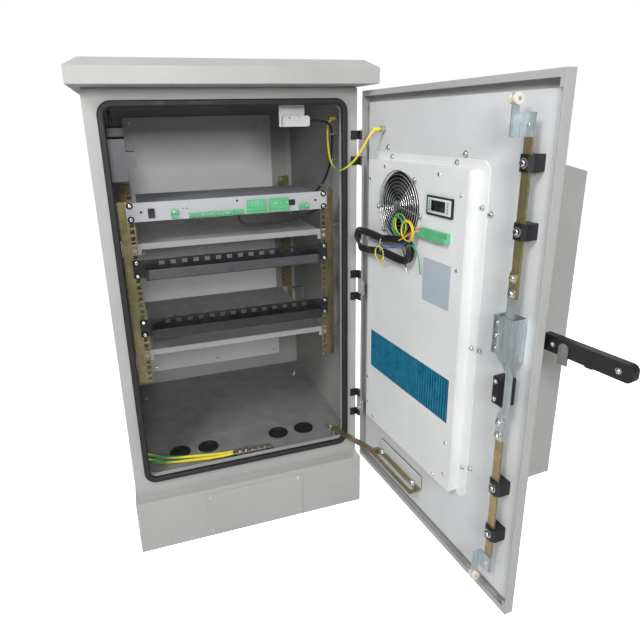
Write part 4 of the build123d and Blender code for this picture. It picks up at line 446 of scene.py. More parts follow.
def moulding(name, colour, bloom, dull=0.45, grain_scale=900.0, relief=0.12):
    """Moulded plastic or rubber with a fine spark grain and paler handled patches."""
    finish, tree, where = start_finish(name)
    skin = use_group(tree, moulded, {"Vector": where, "Colour": (*colour, 1.0), "Bloom": (*bloom, 1.0),
                                     "Grain Scale": grain_scale, "Dull": dull})
    worn, rounded = wear_edges(tree, skin, 0.0006, 0.35, bloom)
    return end_finish(finish, skin, worn, relief, 0.0004, rounded)


seal_rubber = moulding("seal_rubber", (0.010, 0.010, 0.012), (0.026, 0.026, 0.029), 0.55, 500.0, 0.25)
dress(seal_rubber, "door_gasket")

# Floor, its service plate and four blanking grommets. The floor is folded sheet; the grommets are
# dished black rubber, snapped into round holes, with a thin skin that is cut when a cable is fed.
floor_coat = powder_coat("floor_powder_coat", (0.19, 0.19, 0.193), dusty=0.2)
dress(floor_coat, "floor_plate", "floor_cover_plate")


def press_face(piece, axis, *steps):
    """Work the face that looks along an axis: a step with a width insets it and slopes it down to a
    depth, and one without a width sinks it straight."""
    pick_faces(piece, axis)
    for width, depth in steps:
        shift = tuple(-depth * axis)
        if width is None:
            bpy.ops.mesh.extrude_region_move(TRANSFORM_OT_translate={"value": shift})
        else:
            bpy.ops.mesh.inset(thickness=width)
            bpy.ops.transform.translate(value=shift)
    bpy.ops.object.mode_set(mode="OBJECT")


GROMMET_XS = (-0.178, -0.101, 0.101, 0.178)
GROMMET_R = 0.028
GROMMET_LIP = 0.003
GROMMET_DISH_R = 0.019
GROMMET_RIM = 0.0016
floor_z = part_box("floor_plate")[1].z
grommet_low, grommet_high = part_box("cable_grommets")
grommet_y = (grommet_low.y + grommet_high.y) / 2
grommet_pattern = add_round("grommet_pattern", GROMMET_R, 0.0, GROMMET_LIP, 48)
press_face(grommet_pattern, UP, (GROMMET_RIM, 0.0), (GROMMET_R - GROMMET_DISH_R - GROMMET_RIM, 0.0008),
           (None, 0.0017), (0.0035, -0.0007), (0.0065, 0.0004))
ease_edges(grommet_pattern, 0.0005)
smooth(grommet_pattern, 60.0)
grommet_rubber = moulding("grommet_rubber", (0.009, 0.009, 0.010), (0.028, 0.028, 0.029), 0.5, 700.0)
grommets = copies(grommet_pattern, "cable_grommet_set",
                  [Matrix.Translation((x, grommet_y, floor_z)) for x in GROMMET_XS])
fit(grommets, grommet_rubber, "cabinet")
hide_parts("cable_grommets")


def hex_bolt(name, radius, height):
    """A hexagon bolt with a chamfered head on a round washer, its seat on the origin, towards +Z."""
    washer = add_round(name, radius * 1.35, 0.0, height * 0.22, 28, ease=height * 0.06)
    head = add_round("hexagon", radius, height * 0.2, height, 6)
    press_face(head, UP, (radius * 0.1, -height * 0.1))
    return smooth(join(name, [washer, head]))


# studs in the floor's back corners, each with its nut
HEX_R = 0.005
HEX_H = 0.005
STUD_R = 0.0028
STUD_H = 0.013
hex_pattern = hex_bolt("hex_pattern", HEX_R, HEX_H)
stud_seats = [Vector((-0.2552, 0.1819, floor_z)), Vector((0.2535, 0.1829, floor_z))]
stud_parts = [copies(hex_pattern, "floor_nuts", [facing(seat, UP, 20) for seat in stud_seats])]
stud_parts += [add_round("stud", STUD_R, 0.0, STUD_H, 16, ease=0.0006, place=Matrix.Translation(seat))
               for seat in stud_seats]
fit(join("floor_studs", stud_parts), screw_steel, "cabinet")

# Rear mounting plate: sheet steel folded back to the wall at its edges, screwed along them.


def front_seats(node, shares):
    """Places on a solid's front, at shares of its width and height."""
    low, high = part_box(node)
    size = high - low
    return [(low.x + across * size.x, low.y, low.z + rise * size.z) for across, rise in shares]


plate_coat = powder_coat("plate_powder_coat", (0.82, 0.82, 0.825), dusty=0.1)
dress(plate_coat, "rear_mounting_plate")
plate_seats = front_seats("rear_mounting_plate", [(across, rise) for across in (0.04, 0.5, 0.96)
                                                  for rise in (0.02, 0.5, 0.98)])
fit(front_screws("mounting_plate_screws", screw_pattern, plate_seats, 50), screw_steel, "cabinet")

# Rack rails: cold-rolled angle, punched with square holes, zinc-plated and yellow-passivated, which
# leaves straw, green and rose bloom. They stand on blue-white plated brackets on the side walls.
BLOOM_TONES = ("Straw", "Green", "Rose")
zinc, entry = start_group("zinc_bloom", {"Vector": "Vector", **{tone: "Color" for tone in BLOOM_TONES}})
pools = noise(zinc, entry["Vector"], 16.0, 4.0, 0.8)
flecks = noise(zinc, entry["Vector"], 75.0, 4.0, 0.6)
tint = blend_colours(zinc, spread(zinc, pools, 0.0, 1.0, 0.40, 0.60), entry["Straw"], entry["Green"])
tint = blend_colours(zinc, spread(zinc, flecks, 0.0, 0.85, 0.48, 0.68), tint, entry["Rose"])
rolling = streaks(zinc, entry["Vector"], (500.0, 500.0, 25.0))
rolled = spread(zinc, rolling, 0.8, 1.15, 0.3, 0.7)
toned = place_node(zinc, "HueSaturation", {"Color": tint, "Value": rolled})
end_group(zinc, toned.outputs["Color"], spread(zinc, flecks, 0.26, 0.48, 0.3, 0.7), rolling)


def beyond(tree, where, direction, place):
    """A mask of what lies further along a direction than a place."""
    along = reckon(tree, "DOT_PRODUCT", where, direction, kind="VectorMath")
    edge_at = Vector(direction).dot(Vector(place))
    return spread(tree, along, 0.0, 1.0, edge_at, edge_at + 0.0003)


def zinc_plate(name, tones, far_tones=None, cuts=()):
    """Passivated zinc plating with its bloom of colours, in other tones beyond any of the cuts."""
    finish, tree, where = start_finish(name)
    feeds = {label: (*tone, 1.0) for label, tone in zip(BLOOM_TONES, tones)}
    if cuts:
        far, *masks = [beyond(tree, where, direction, place) for direction, place in cuts]
        for mask in masks:
            far = reckon(tree, "MAXIMUM", far, mask)
        for label, tone in zip(BLOOM_TONES, far_tones):
            feeds[label] = blend_colours(tree, far, feeds[label], (*tone, 1.0))
    skin = use_group(tree, zinc, {"Vector": where, **feeds})
    worn, rounded = wear_edges(tree, skin, 0.0005, 0.5, (0.75, 0.73, 0.66))
    return end_finish(finish, skin, worn, 0.08, 0.0003, rounded, 0.85)


YELLOW_TONES = ((0.50, 0.39, 0.19), (0.30, 0.33, 0.14), (0.46, 0.27, 0.20))
BLUE_TONES = ((0.58, 0.64, 0.66), (0.52, 0.60, 0.62), (0.62, 0.65, 0.70))
rail_zinc = zinc_plate("rail_yellow_zinc", ((0.30, 0.25, 0.13), (0.18, 0.20, 0.08), (0.28, 0.17, 0.13)))
blue_zinc = zinc_plate("blue_white_zinc", BLUE_TONES)
dress(rail_zinc, "rack_rails_front", "rack_rails_rear")
dress(blue_zinc, "rail_brackets")

# Shelves: slotted trays of the same coated sheet, hung on the rails by ears.
shelf_coat = powder_coat("shelf_powder_coat", (0.32, 0.32, 0.318), dusty=0.15)
dress(shelf_coat, "shelf_upper", "shelf_lower")

# Power unit: a one-unit sheet case with a pale front panel, a rocker switch, plug-in terminals,
# a data socket and pilot lamps.
unit_low, unit_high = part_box("power_unit")
UNIT_PANEL_T = 0.0032
UNIT_FRONT = unit_low.y
UNIT_MIDDLE_Z = (unit_low.z + unit_high.z) / 2
UNIT_HALF_W = (unit_high.x - unit_low.x) / 2
UNIT_HALF_H = (unit_high.z - unit_low.z) / 2
unit_coat = powder_coat("unit_panel_coat", (0.44, 0.45, 0.47), 0.0006, 0.05)
unit_tree = unit_coat.node_tree
behind_panel = beyond(unit_tree, place_node(unit_tree, "TexCoord").outputs["Object"], (0.0, 1.0, 0.0),
                      (0.0, UNIT_FRONT + UNIT_PANEL_T, 0.0))
panel_tone = shader_of(unit_coat).inputs["Base Color"].links[0].from_socket
case_tone = blend_colours(unit_tree, behind_panel, panel_tone, (0.55, 0.55, 0.58, 1.0), "MULTIPLY")
feed(unit_tree, shader_of(unit_coat), {"Base Color": case_tone})
dress(unit_coat, "power_unit")
terminal_green = moulding("terminal_green", (0.10, 0.43, 0.20), (0.20, 0.56, 0.33), 0.36, 1200.0, 0.06)
dress(terminal_green, "power_unit_terminals")
black_moulding = moulding("black_moulding", (0.008, 0.008, 0.010), (0.022, 0.022, 0.025), 0.42)
dress(black_moulding, "unit_switch")

terminal_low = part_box("power_unit_terminals")[0]
# Rows of clamp screws on the terminal blocks: first and last place across and the height, as shares of
# the panel's half width and half height, and the number of screws
CLAMP_ROW_SHARES = ((-0.585, -0.535, -0.16, 3), (-0.417, -0.361, -0.62, 4), (-0.331, -0.275, -0.62, 4),
                    (-0.245, -0.189, -0.62, 4), (-0.159, -0.103, -0.62, 4), (-0.073, -0.017, -0.62, 4),
                    (0.018, 0.098, -0.58, 4), (0.160, 0.332, -0.02, 6), (0.390, 0.566, 0.05, 6),
                    (0.705, 0.775, -0.42, 3))
CLAMP_SEAT = UNIT_FRONT - 0.65 * (UNIT_FRONT - terminal_low.y)
CLAMP_R = 0.0017
CLAMP_H = 0.0008
# under each screw a small black block is painted shade for the dark wire-entry hole, further down on the blocks
# with six
LONG_ROW = 6
LONG_ROW_DROP = 0.62
ENTRY_SHADE_DROP = 0.24
ENTRY_SHADE_HALF_W = 0.0013
ENTRY_SHADE_HALF_H = 0.0012
ENTRY_SHADE_PROUD = 0.0002
ENTRY_SHADE_DEEP = 0.0004
clamp_pattern = pan_screw("clamp_pattern", CLAMP_R, CLAMP_H)
clamp_places = []
entry_hole_shades = []
for first, last, height, count in CLAMP_ROW_SHARES:
    screw_z = UNIT_MIDDLE_Z + height * UNIT_HALF_H
    z = UNIT_MIDDLE_Z + (height - (LONG_ROW_DROP if count == LONG_ROW else ENTRY_SHADE_DROP)) * UNIT_HALF_H
    for i in range(count):
        x = (first + (last - first) * i / (count - 1)) * UNIT_HALF_W
        clamp_places.append(facing((x, CLAMP_SEAT, screw_z), FRONT, 27 * i))
        low = (x - ENTRY_SHADE_HALF_W, terminal_low.y - ENTRY_SHADE_PROUD, z - ENTRY_SHADE_HALF_H)
        high = (x + ENTRY_SHADE_HALF_W, terminal_low.y + ENTRY_SHADE_DEEP, z + ENTRY_SHADE_HALF_H)
        entry_hole_shades.append(add_block("entry_hole_shade", low, high, 0.0003, 1))
fit(copies(clamp_pattern, "terminal_clamp_screws", clamp_places), screw_steel, "cabinet")
# black blocks of painted shade for the terminals' wire-entry holes
fit(join("terminal_entry_hole_shades", entry_hole_shades), black_moulding, "cabinet")

# data socket with a sunk face, and two pilot lamps with domed lenses
SOCKET_X = 0.62 * UNIT_HALF_W
SOCKET_HALF_W = 0.008
data_socket = add_block("data_socket",
                        (SOCKET_X - SOCKET_HALF_W, UNIT_FRONT - 0.0015, UNIT_MIDDLE_Z - 0.0075),
                        (SOCKET_X + SOCKET_HALF_W, UNIT_FRONT + 0.001, UNIT_MIDDLE_Z + 0.0065), 0.0004)
press_face(data_socket, FRONT, (0.0015, 0.0), (None, 0.0012))
fit(smooth(data_socket), black_moulding, "cabinet")
LENS_R = 0.0017
LENS_Z = UNIT_MIDDLE_Z + 0.12 * UNIT_HALF_H
for lamp_name, lamp_share, lamp_colour in (("run_lamp", -0.475, (0.10, 0.45, 0.10)),
                                           ("alarm_lamp", -0.44, (0.6, 0.04, 0.03))):
    lens_finish, tree, where = start_finish(lamp_name)
    shade = spread(tree, noise(tree, where, 900.0), 0.0, 1.0, 0.3, 0.7)
    lens_tone = blend_colours(tree, shade, (*[0.7 * part for part in lamp_colour], 1.0), (*lamp_colour, 1.0))
    feed(tree, shader_of(lens_finish), {"Base Color": lens_tone, "Roughness": 0.12, "Coat Weight": 0.6})
    lens = add_round(lamp_name, LENS_R, -0.0005, 0.0018, 20, 0.8, 0.0008, 3,
                     facing((lamp_share * UNIT_HALF_W, UNIT_FRONT, LENS_Z), FRONT))
    fit(smooth(join(lamp_name, [lens]), 60.0), lens_finish, "cabinet")

unit_seats = [(share * UNIT_HALF_W, UNIT_FRONT, UNIT_MIDDLE_Z + rise * UNIT_HALF_H)
              for share, rise in ((-0.865, 0.0), (0.055, 0.55), (0.875, 0.05))]
fit(front_screws("unit_panel_screws", screw_pattern, unit_seats, 31, scale=0.6), black_moulding, "cabinet")

# Cable managers: black coated steel ducts on rack ears, slotted along the top, with a clip-on lid.
duct_black = moulding("duct_black_coat", (0.010, 0.010, 0.012), (0.032, 0.032, 0.036), 0.36, 800.0, 0.1)
dress(duct_black, "cable_manager_upper", "cable_manager_lower")
LID_H = 0.0225
LID_T = 0.0008
LID_IN = 0.002
LID_END = 0.052
lid_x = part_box("rack_rails_front")[1].x - LID_END
for node, lid_tone, lid_bloom in (("cable_manager_upper", (0.060, 0.060, 0.066), (0.085, 0.085, 0.092)),
                                  ("cable_manager_lower", (0.016, 0.016, 0.019), (0.034, 0.034, 0.038))):
    duct_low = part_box(node)[0]
    lid = add_block(node + "_lid", (-lid_x, duct_low.y - LID_T, duct_low.z + LID_IN),
                    (lid_x, duct_low.y, duct_low.z + LID_IN + LID_H), 0.0006)
    press_face(lid, FRONT, (0.0016, 0.0003))
    lid_coat = moulding(node + "_lid_coat", lid_tone, lid_bloom, 0.34, 800.0, 0.06)
    fit(smooth(lid), lid_coat, "cabinet")

# Rack screws: plated pan heads on black cup washers, two to each ear.
RACK_SCREW_X = 0.23255
RACK_SCREW_R = 0.0052
RACK_SCREW_H = 0.003
EAR_T = 0.002
CUP_R = 0.0078
CUP_H = 0.0022
rack_seats = []
for ear_y, ear_zs in ((UNIT_FRONT, (0.87465, 0.8429)),
                      (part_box("cable_manager_upper")[1].y - EAR_T, (0.7413, 0.70955)),
                      (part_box("cable_manager_lower")[1].y - EAR_T, (0.59338, 0.56163))):
    rack_seats += [(x, ear_y, z) for x in (-RACK_SCREW_X, RACK_SCREW_X) for z in ear_zs]
rack_pattern = pan_screw("rack_pattern", RACK_SCREW_R, RACK_SCREW_H)
rack_heads = front_screws("rack_screw_heads", rack_pattern, rack_seats, 33)
fit(rack_heads, screw_steel, "cabinet")
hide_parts("rack_screws")
cup_pattern = add_round("cup_pattern", CUP_R, 0.0, CUP_H, 32, 0.80)
press_face(cup_pattern, UP, (0.0009, 0.0010))
smooth(cup_pattern)
fit(front_screws("rack_cup_washers", cup_pattern, rack_seats, 0), black_moulding, "cabinet")

# Earth bar and stud: tinned copper bar on two posts with hexagon bolts, bolted to the floor.
earth_metal = bright_metal("tinned_copper", (0.66, 0.62, 0.52), (0.45, 0.36, 0.24))
dress(earth_metal, "earth_terminals")

# Mains socket on its mounting rail, and the angled plug in it: grey and black mouldings.
grey_moulding = moulding("grey_moulding", (0.15, 0.15, 0.165), (0.21, 0.21, 0.225), 0.42)
dress(grey_moulding, "mains_socket")
dress(black_moulding, "mains_plug")

# Door contact: a white moulded magnetic switch on an angle bracket under the top plate.
white_moulding = moulding("white_moulding", (0.62, 0.62, 0.61), (0.72, 0.72, 0.70), 0.35, 1000.0, 0.05)
dress(white_moulding, "door_contact")
contact_seats = front_seats("door_contact", [(across, 0.25) for across in (0.305, 0.60, 0.86)])
fit(front_screws("door_contact_screws", screw_pattern, contact_seats, 37, scale=0.55), screw_steel, "cabinet")

# Cables: PVC-sheathed leads. The black ones serve the plug and the power unit; the two green-and-yellow
# ones run from the earth bar to the left wall. Each is clamped at both ends and sags between.
FRONT_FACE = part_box("front_frame")[0].y


def sheath(name, colour, band=None):
    """Extruded PVC, smooth and slightly waxy, with a second colour twisted round it if it has one."""
    finish, tree, where = start_finish(name)
    bloom = [min(1.0, 1.5 * part + 0.01) for part in colour]
    skin = use_group(tree, moulded, {"Vector": where, "Colour": (*colour, 1.0), "Bloom": (*bloom, 1.0),
                                     "Grain Scale": 900.0, "Dull": 0.33})
    tone = skin["Colour"]
    if band is not None:
        run = place_node(tree, "SeparateXYZ", {"Vector": place_node(tree, "TexCoord").outputs["UV"]}).outputs
        turn_share = reckon(tree, "FRACT", reckon(tree, "MULTIPLY_ADD", run["X"], 1.3, run["Y"]))
        tone = blend_colours(tree, spread(tree, turn_share, 0.0, 1.0, 0.66, 0.70), tone, (*band, 1.0))
    return end_finish(finish, skin, tone, 0.05, 0.0003)


def lay_line(name, route, radius, finish):
    """One smooth spline through a route of control points, as thick as the cable."""
    line = bpy.data.curves.new(name, "CURVE")
    line.dimensions = "3D"
    spline = line.splines.new("NURBS")
    spline.points.add(len(route) - 1)
    for point, place in zip(spline.points, route):
        point.co = (*place, 1.0)
        point.radius = radius
    spline.order_u = 3
    spline.use_endpoint_u = True
    spline.resolution_u = 10
    line.bevel_depth = 1.0
    line.bevel_resolution = 5
    line.use_fill_caps = True
    line.materials.append(finish)
    piece = bpy.data.objects.new(name, line)
    bpy.context.collection.objects.link(piece)
    return piece


def ride_line(name, route, radius, finish, body):
    """A cable's line, fixed to a body."""
    line = lay_line(name, route, radius, finish)
    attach(line, body)
    return line


def line_points(piece):
    """Points along a cable's own spline."""
    depth = piece.data.bevel_depth
    piece.data.bevel_depth = 0.0
    bpy.context.view_layer.update()
    thread = bpy.data.meshes.new_from_object(piece.evaluated_get(bpy.context.evaluated_depsgraph_get()))
    piece.data.bevel_depth = depth
    points = [vertex.co.copy() for vertex in thread.vertices]
    bpy.data.meshes.remove(thread)
    return points


def run_length(points):
    """Length of a line of points."""
    return sum((b - a).length for a, b in zip(points, points[1:]))


def from_front(route):
    """A route of millimetres, its depths measured from the front face, in the shared frame."""
    return [(x / 1000, FRONT_FACE + y / 1000, z / 1000) for x, y, z in route]


black_sheath = sheath("black_sheath", (0.016, 0.016, 0.017))
earth_sheath = sheath("earth_sheath", (0.74, 0.60, 0.03), (0.03, 0.25, 0.10))
LEAD_R = 0.003
EARTH_R = 0.0045
WALL_ROUTE = from_front(((192, 33, 1049), (214, 33, 1049), (240, 46, 1047), (262, 74, 1036), (277, 106, 1010),
                         (284, 128, 972), (283, 144, 928), (271, 160, 890), (256, 171, 868), (238, 176, 858),
                         (215, 176, 858)))
wall_cable = ride_line("wall_cable_line", WALL_ROUTE, LEAD_R, black_sheath, "cabinet")
UNIT_ROUTE = from_front(((14, 48.5, 839.1), (14, 48.5, 828), (19.5, 48.3, 818.5), (29, 48, 813),
                         (46, 47, 810.5), (76, 46, 809.5), (116, 46.5, 811), (160, 49, 817), (194, 58, 826), (222, 71, 834),
                         (243, 75, 838), (257, 75, 838)))
unit_cable = ride_line("unit_cable_line", UNIT_ROUTE, LEAD_R, black_sheath, "cabinet")
EARTH_ROUTES = (
    from_front(((-44.5, 25.2, 200), (-66, 25.2, 200), (-102, 33, 196), (-150, 46, 192), (-200, 54, 193),
                (-242, 56, 203), (-270, 56, 216), (-283, 56, 219), (-298, 56, 219))),
    from_front(((-44.5, 34.8, 200), (-64, 34.8, 200), (-98, 46, 196), (-144, 62, 192), (-194, 72, 193),
                (-240, 74, 205), (-269, 74, 220), (-282, 74, 224), (-298, 74, 224))))
earth_lines = [ride_line(f"earth_cable_line_{i + 1}", route, EARTH_R, earth_sheath, "cabinet")
               for i, route in enumerate(EARTH_ROUTES)]


def add_ring(radius, wire, segments, place=(0.0, 0.0, 0.0), turned=(0.0, 0.0, 0.0)):
    """A ring of round wire about Z, turned and set at a place."""
    bpy.ops.object.select_all(action="DESELECT")
    bpy.ops.mesh.primitive_torus_add(major_radius=radius, minor_radius=wire, major_segments=segments,
                                     minor_segments=8, location=place, rotation=turned)
    return bpy.context.object


# white ties round the black wall cable
TIE_SHARES = (0.36, 0.56, 0.76)
wall_thread = line_points(wall_cable)
ties = []
for share in TIE_SHARES:
    i = int(share * (len(wall_thread) - 1))
    band = add_ring(0.0034, 0.0009, 32)
    head = add_block("tie_head", (-0.0065, -0.0016, -0.0014), (-0.0032, 0.0016, 0.0014), 0.0004, 1)
    tail = add_block("tie_tail", (-0.0150, -0.0010, -0.0005), (-0.0060, 0.0010, 0.0005), 0.0002, 1)
    tie = join("tie", [band, head, tail])
    tie.matrix_world = facing(wall_thread[i], wall_thread[i + 1] - wall_thread[i])
    ties.append(tie)
wall_ties = fit(join("wall_cable_ties", ties), white_moulding, "cabinet")

# red and blue cores from the unit's black cable up into the last terminal
red_sheath = sheath("red_core", (0.55, 0.03, 0.02))
blue_sheath = sheath("blue_core", (0.02, 0.12, 0.55))
core_start = Vector(UNIT_ROUTE[0])
unit_cores = []
for core_name, aside, tone in (("red", -0.0016, red_sheath), ("blue", 0.0016, blue_sheath)):
    foot = core_start + Vector((aside * 0.6, 0.0, -0.002))
    core_route = (foot, foot + Vector((aside, 0.0, 0.003)), core_start + Vector((2 * aside, 0.002, 0.006)),
                  core_start + Vector((2 * aside, 0.0085, 0.008)))
    unit_cores.append(ride_line("unit_core_" + core_name, core_route, 0.0010, tone, "cabinet"))

for lead, route, node, riders in ((wall_cable, WALL_ROUTE, "wall_cable", [wall_ties]),
                                  (unit_cable, UNIT_ROUTE, "unit_cable", unit_cores),
                                  (earth_lines[0], EARTH_ROUTES[0], "earth_cables", []),
                                  (earth_lines[1], EARTH_ROUTES[1], "earth_cables", [])):
    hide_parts(node)
    run_length(line_points(lead))

# Hinges: black castings on the frame with two knuckles each, and leaves on the door in the shell's coat.
dress(black_moulding, "hinge_knuckles")
dress(shell_coat, "hinge_leaves")

# Door: an outer skin folded round a flat liner, both powder-coated. Everything on it is drawn on a
# flat door, across from the hinge edge, outwards and up, and then set on the open one.
door_coat = powder_coat("door_powder_coat", (0.63, 0.645, 0.655))
dress(shell_coat, "door_panel")
dress(door_coat, "door_liner")
DOOR_OPEN = math.radians(95.0)
HINGE_AXIS = Vector((0.308, -0.2765, 0.0))
SHUT_CORNER = Vector((0.297, -0.2725, 0.0))
shut_door = Matrix.Translation(SHUT_CORNER) @ Matrix.Rotation(math.pi, 4, "Z")
open_door = (Matrix.Translation(HINGE_AXIS) @ Matrix.Rotation(DOOR_OPEN, 4, "Z")
             @ Matrix.Translation(-HINGE_AXIS) @ shut_door)
INWARD = FRONT
LINER_FACE = 0.006
FLANGE_FACE = 0.004
PLATE_FACE = -0.020


def on_door(*place):
    """A place drawn on the flat door, carried to the open one."""
    return tuple(open_door @ Vector(place))


def fit_on_door(piece, finish, body="door"):
    """Carry a piece drawn on the flat door to the open one and fix it there."""
    select_only(piece)
    piece.matrix_world = open_door @ piece.matrix_world
    bpy.ops.object.transform_apply(location=True, rotation=True, scale=True)
    return fit(piece, finish, body)


def dome_bolt(name, radius, height):
    """A domed bolt with a cross recess on a round washer, its seat on the origin, towards +Z."""
    washer = add_round(name, radius * 1.3, 0.0, height * 0.22, 28, ease=height * 0.06)
    return smooth(join(name, [washer, pan_screw("dome", radius, height)]))


def door_screws(name, face, places, pattern, scale=1.0, body="door"):
    """Screw heads on one face of the door, at places across and up."""
    heads = front_screws(name, pattern, [(s, face, z) for s, z in places], 41, scale=scale)
    return fit_on_door(heads, screw_steel, body)


BOLT_R = 0.0048
BOLT_H = 0.0042
bolt_pattern = dome_bolt("bolt_pattern", BOLT_R, BOLT_H)
LINER_BOLTS = ((0.110, 0.991), (0.370, 0.988), (0.445, 0.891), (0.445, 0.639), (0.445, 0.386), (0.119, 0.298),
               (0.377, 0.298))
door_screws("liner_bolts", LINER_FACE, LINER_BOLTS, bolt_pattern)

# the hinges' leaf screws and pin caps
HINGE_HEIGHTS = (0.98545, 0.64323, 0.30588)
HINGE_HALF_H = 0.0395
LEAF_FACE = -0.0025
LEAF_SCREW_S = 0.004
LEAF_SCREW_RISE = 0.009
leaf_places = [(LEAF_SCREW_S, z + side * LEAF_SCREW_RISE) for z in HINGE_HEIGHTS for side in (-1, 1)]
door_screws("hinge_leaf_screws", LEAF_FACE, leaf_places, screw_pattern, 0.62)
cap_pattern = smooth(add_round("cap_pattern", 0.0044, 0.0, 0.0024, 24, 0.72, 0.0006))
cap_places = [facing(HINGE_AXIS + Vector((0.0, 0.0, z + side * HINGE_HALF_H)), (0, 0, side))
              for z in HINGE_HEIGHTS for side in (-1, 1)]
fit(copies(cap_pattern, "hinge_pin_caps", cap_places), screw_steel, "cabinet")

# Exchanger's inner casing: a white-coated sheet box flanged to the door, with a screwed front plate.
casing_coat = powder_coat("casing_powder_coat", (0.74, 0.75, 0.75), dusty=0.15)
dress(casing_coat, "exchanger_casing")
FLANGE_BOLTS = ((0.130, 0.972), (0.350, 0.972), (0.4245, 0.900), (0.4245, 0.638), (0.4245, 0.377),
                (0.060, 0.384), (0.060, 0.640), (0.060, 0.900))
door_screws("flange_bolts", FLANGE_FACE, FLANGE_BOLTS, bolt_pattern, 0.9)
PLATE_SCREWS = ((0.140, 0.953), (0.078, 0.923), (0.330, 0.951), (0.396, 0.9195), (0.397, 0.784),
                (0.395, 0.422), (0.395, 0.349), (0.078, 0.429), (0.078, 0.358), (0.107, 0.330), (0.359, 0.325))
door_screws("plate_screws", PLATE_FACE, PLATE_SCREWS, screw_pattern, 0.78)
plate_tone = powder_coat("bare_rating_plate", (0.42, 0.47, 0.54), 0.0004, 0.05)
rating_plate = add_block("bare_rating_plate", (0.294, PLATE_FACE - 0.0006, 0.700), (0.381, PLATE_FACE, 0.788),
                         0.0003)
fit_on_door(rating_plate, plate_tone)

# Fan and guard: a black seven-bladed impeller in a moulded shroud, behind a guard of welded wire rings on
# four stay wires. The shroud's closed back is a black disc of painted shade for the dark hollow behind the fan.
dress(black_moulding, "fan_rotor")
FAN_S = 0.202
FAN_Z = 0.877


def at_fan(depth):
    """A place on the fan's axis."""
    return Vector((FAN_S, depth, FAN_Z))


FAN_CUP_R = 0.0695
FAN_CUP_WALL = 0.0022
FAN_SHADE_DISC_DEPTH = 0.012
FAN_CUP_L = FAN_SHADE_DISC_DEPTH - PLATE_FACE - 0.0005
# the shroud is drawn as a cup whose closed back is painted shade: a black disc for the dark hollow of the
# casing
fan_shroud_and_shade_disc = add_round("fan_shroud_and_shade_disc", FAN_CUP_R, 0.0, FAN_CUP_L, 72)
press_face(fan_shroud_and_shade_disc, UP, (FAN_CUP_WALL, 0.0), (None, FAN_CUP_L - FAN_CUP_WALL))
ease_edges(fan_shroud_and_shade_disc, 0.0006)
fan_shroud_and_shade_disc.matrix_world = facing(at_fan(FAN_SHADE_DISC_DEPTH), INWARD)
smooth(fit_on_door(fan_shroud_and_shade_disc, black_moulding), 40.0)
GUARD_DEPTH = -0.0251
WIRE_R = 0.0011
RING_RADII = [0.0719 - 0.0076 * i for i in range(8)]
RING_TURN = (math.pi / 2, 0.0, 0.0)
LUG_R = 0.080
LUG_EYE_R = 0.0038
LUG_ANGLES = [math.radians(angle) for angle in (134.0, 188.0, 314.0, 352.0)]
POST_R = 0.0028
POST_L = 0.004
lug_places = []
guard_wires = [add_ring(radius, WIRE_R, 72, at_fan(GUARD_DEPTH), RING_TURN) for radius in RING_RADII]
for angle in LUG_ANGLES:
    reach = Vector((-math.cos(angle), 0.0, math.sin(angle)))
    start = at_fan(GUARD_DEPTH + 0.0004)
    guard_wires.append(add_round("stay_wire", WIRE_R, 0.010, LUG_R - 0.003, 10, place=facing(start, reach)))
    guard_wires.append(add_ring(LUG_EYE_R, WIRE_R, 24, start + LUG_R * reach, RING_TURN))
    guard_wires.append(add_round("lug_post", POST_R, 0.0, POST_L, 16,
                                 place=facing(at_fan(PLATE_FACE) + LUG_R * reach, INWARD)))
    lug_places.append((FAN_S + LUG_R * reach.x, FAN_Z + LUG_R * reach.z))
guard_wires.append(add_round("guard_boss", 0.013, 0.0, 0.0022, 36, ease=0.0006,
                             place=facing(at_fan(GUARD_DEPTH + WIRE_R), INWARD)))
guard_wires.append(add_round("motor_shaft", 0.003, 0.0, 0.028, 20, place=facing(at_fan(0.004), INWARD)))
guard_chrome = bright_metal("guard_wire_plating", (0.62, 0.62, 0.63), (0.40, 0.40, 0.40))
guard = smooth(fit_on_door(join("fan_wire_guard", guard_wires), guard_chrome), 50.0)
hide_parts("fan_guard")
door_screws("guard_screws", GUARD_DEPTH - 0.0005, lug_places, screw_pattern, 0.66)

# Exchanger core: a stack of blue epoxy-coated aluminium fins that shows through the plate's window.
core_blue = moulding("core_blue", (0.012, 0.17, 0.29), (0.05, 0.34, 0.48), 0.30, 600.0, 0.1)
dress(core_blue, "exchanger_core")

# Controller: a black moulded frame with a white face in it, a dark display window and two rows of keys.
dress(black_moulding, "controller_display")
DISPLAY_RECESS = -0.023
DISPLAY_FACE = DISPLAY_RECESS - 0.0009
display_face = add_block("display_face", (0.3043, DISPLAY_FACE, 0.8783), (0.3757, DISPLAY_RECESS, 0.9077),
                         0.0006)
fit_on_door(smooth(display_face), white_moulding)
window = add_block("display_window", (0.3160, DISPLAY_FACE - 0.0005, 0.8835), (0.3585, DISPLAY_FACE, 0.9035),
                   0.0003)
press_face(window, INWARD, (0.0012, 0.0004))
screen_black = moulding("display_window", (0.010, 0.010, 0.013), (0.020, 0.020, 0.026), 0.16, 900.0, 0.0)
fit_on_door(smooth(window), screen_black)
KEY_W = 0.0050
KEY_H = 0.0036
keys = [add_block("key", (s, DISPLAY_FACE - 0.0006, z), (s + KEY_W, DISPLAY_FACE, z + KEY_H), 0.0005)
        for s in (0.3075, 0.3635) for z in (0.8830, 0.8885, 0.8940, 0.8995)]
fit_on_door(join("display_keys", keys), terminal_green)

# Exchanger's terminal: a green plug-in block, with its leads clamped in from above.
dress(terminal_green, "exchanger_terminal")

# Outer casing: the exchanger's street-side cover, coated sheet with pressed louvres.
dress(shell_coat, "exchanger_outer_casing")

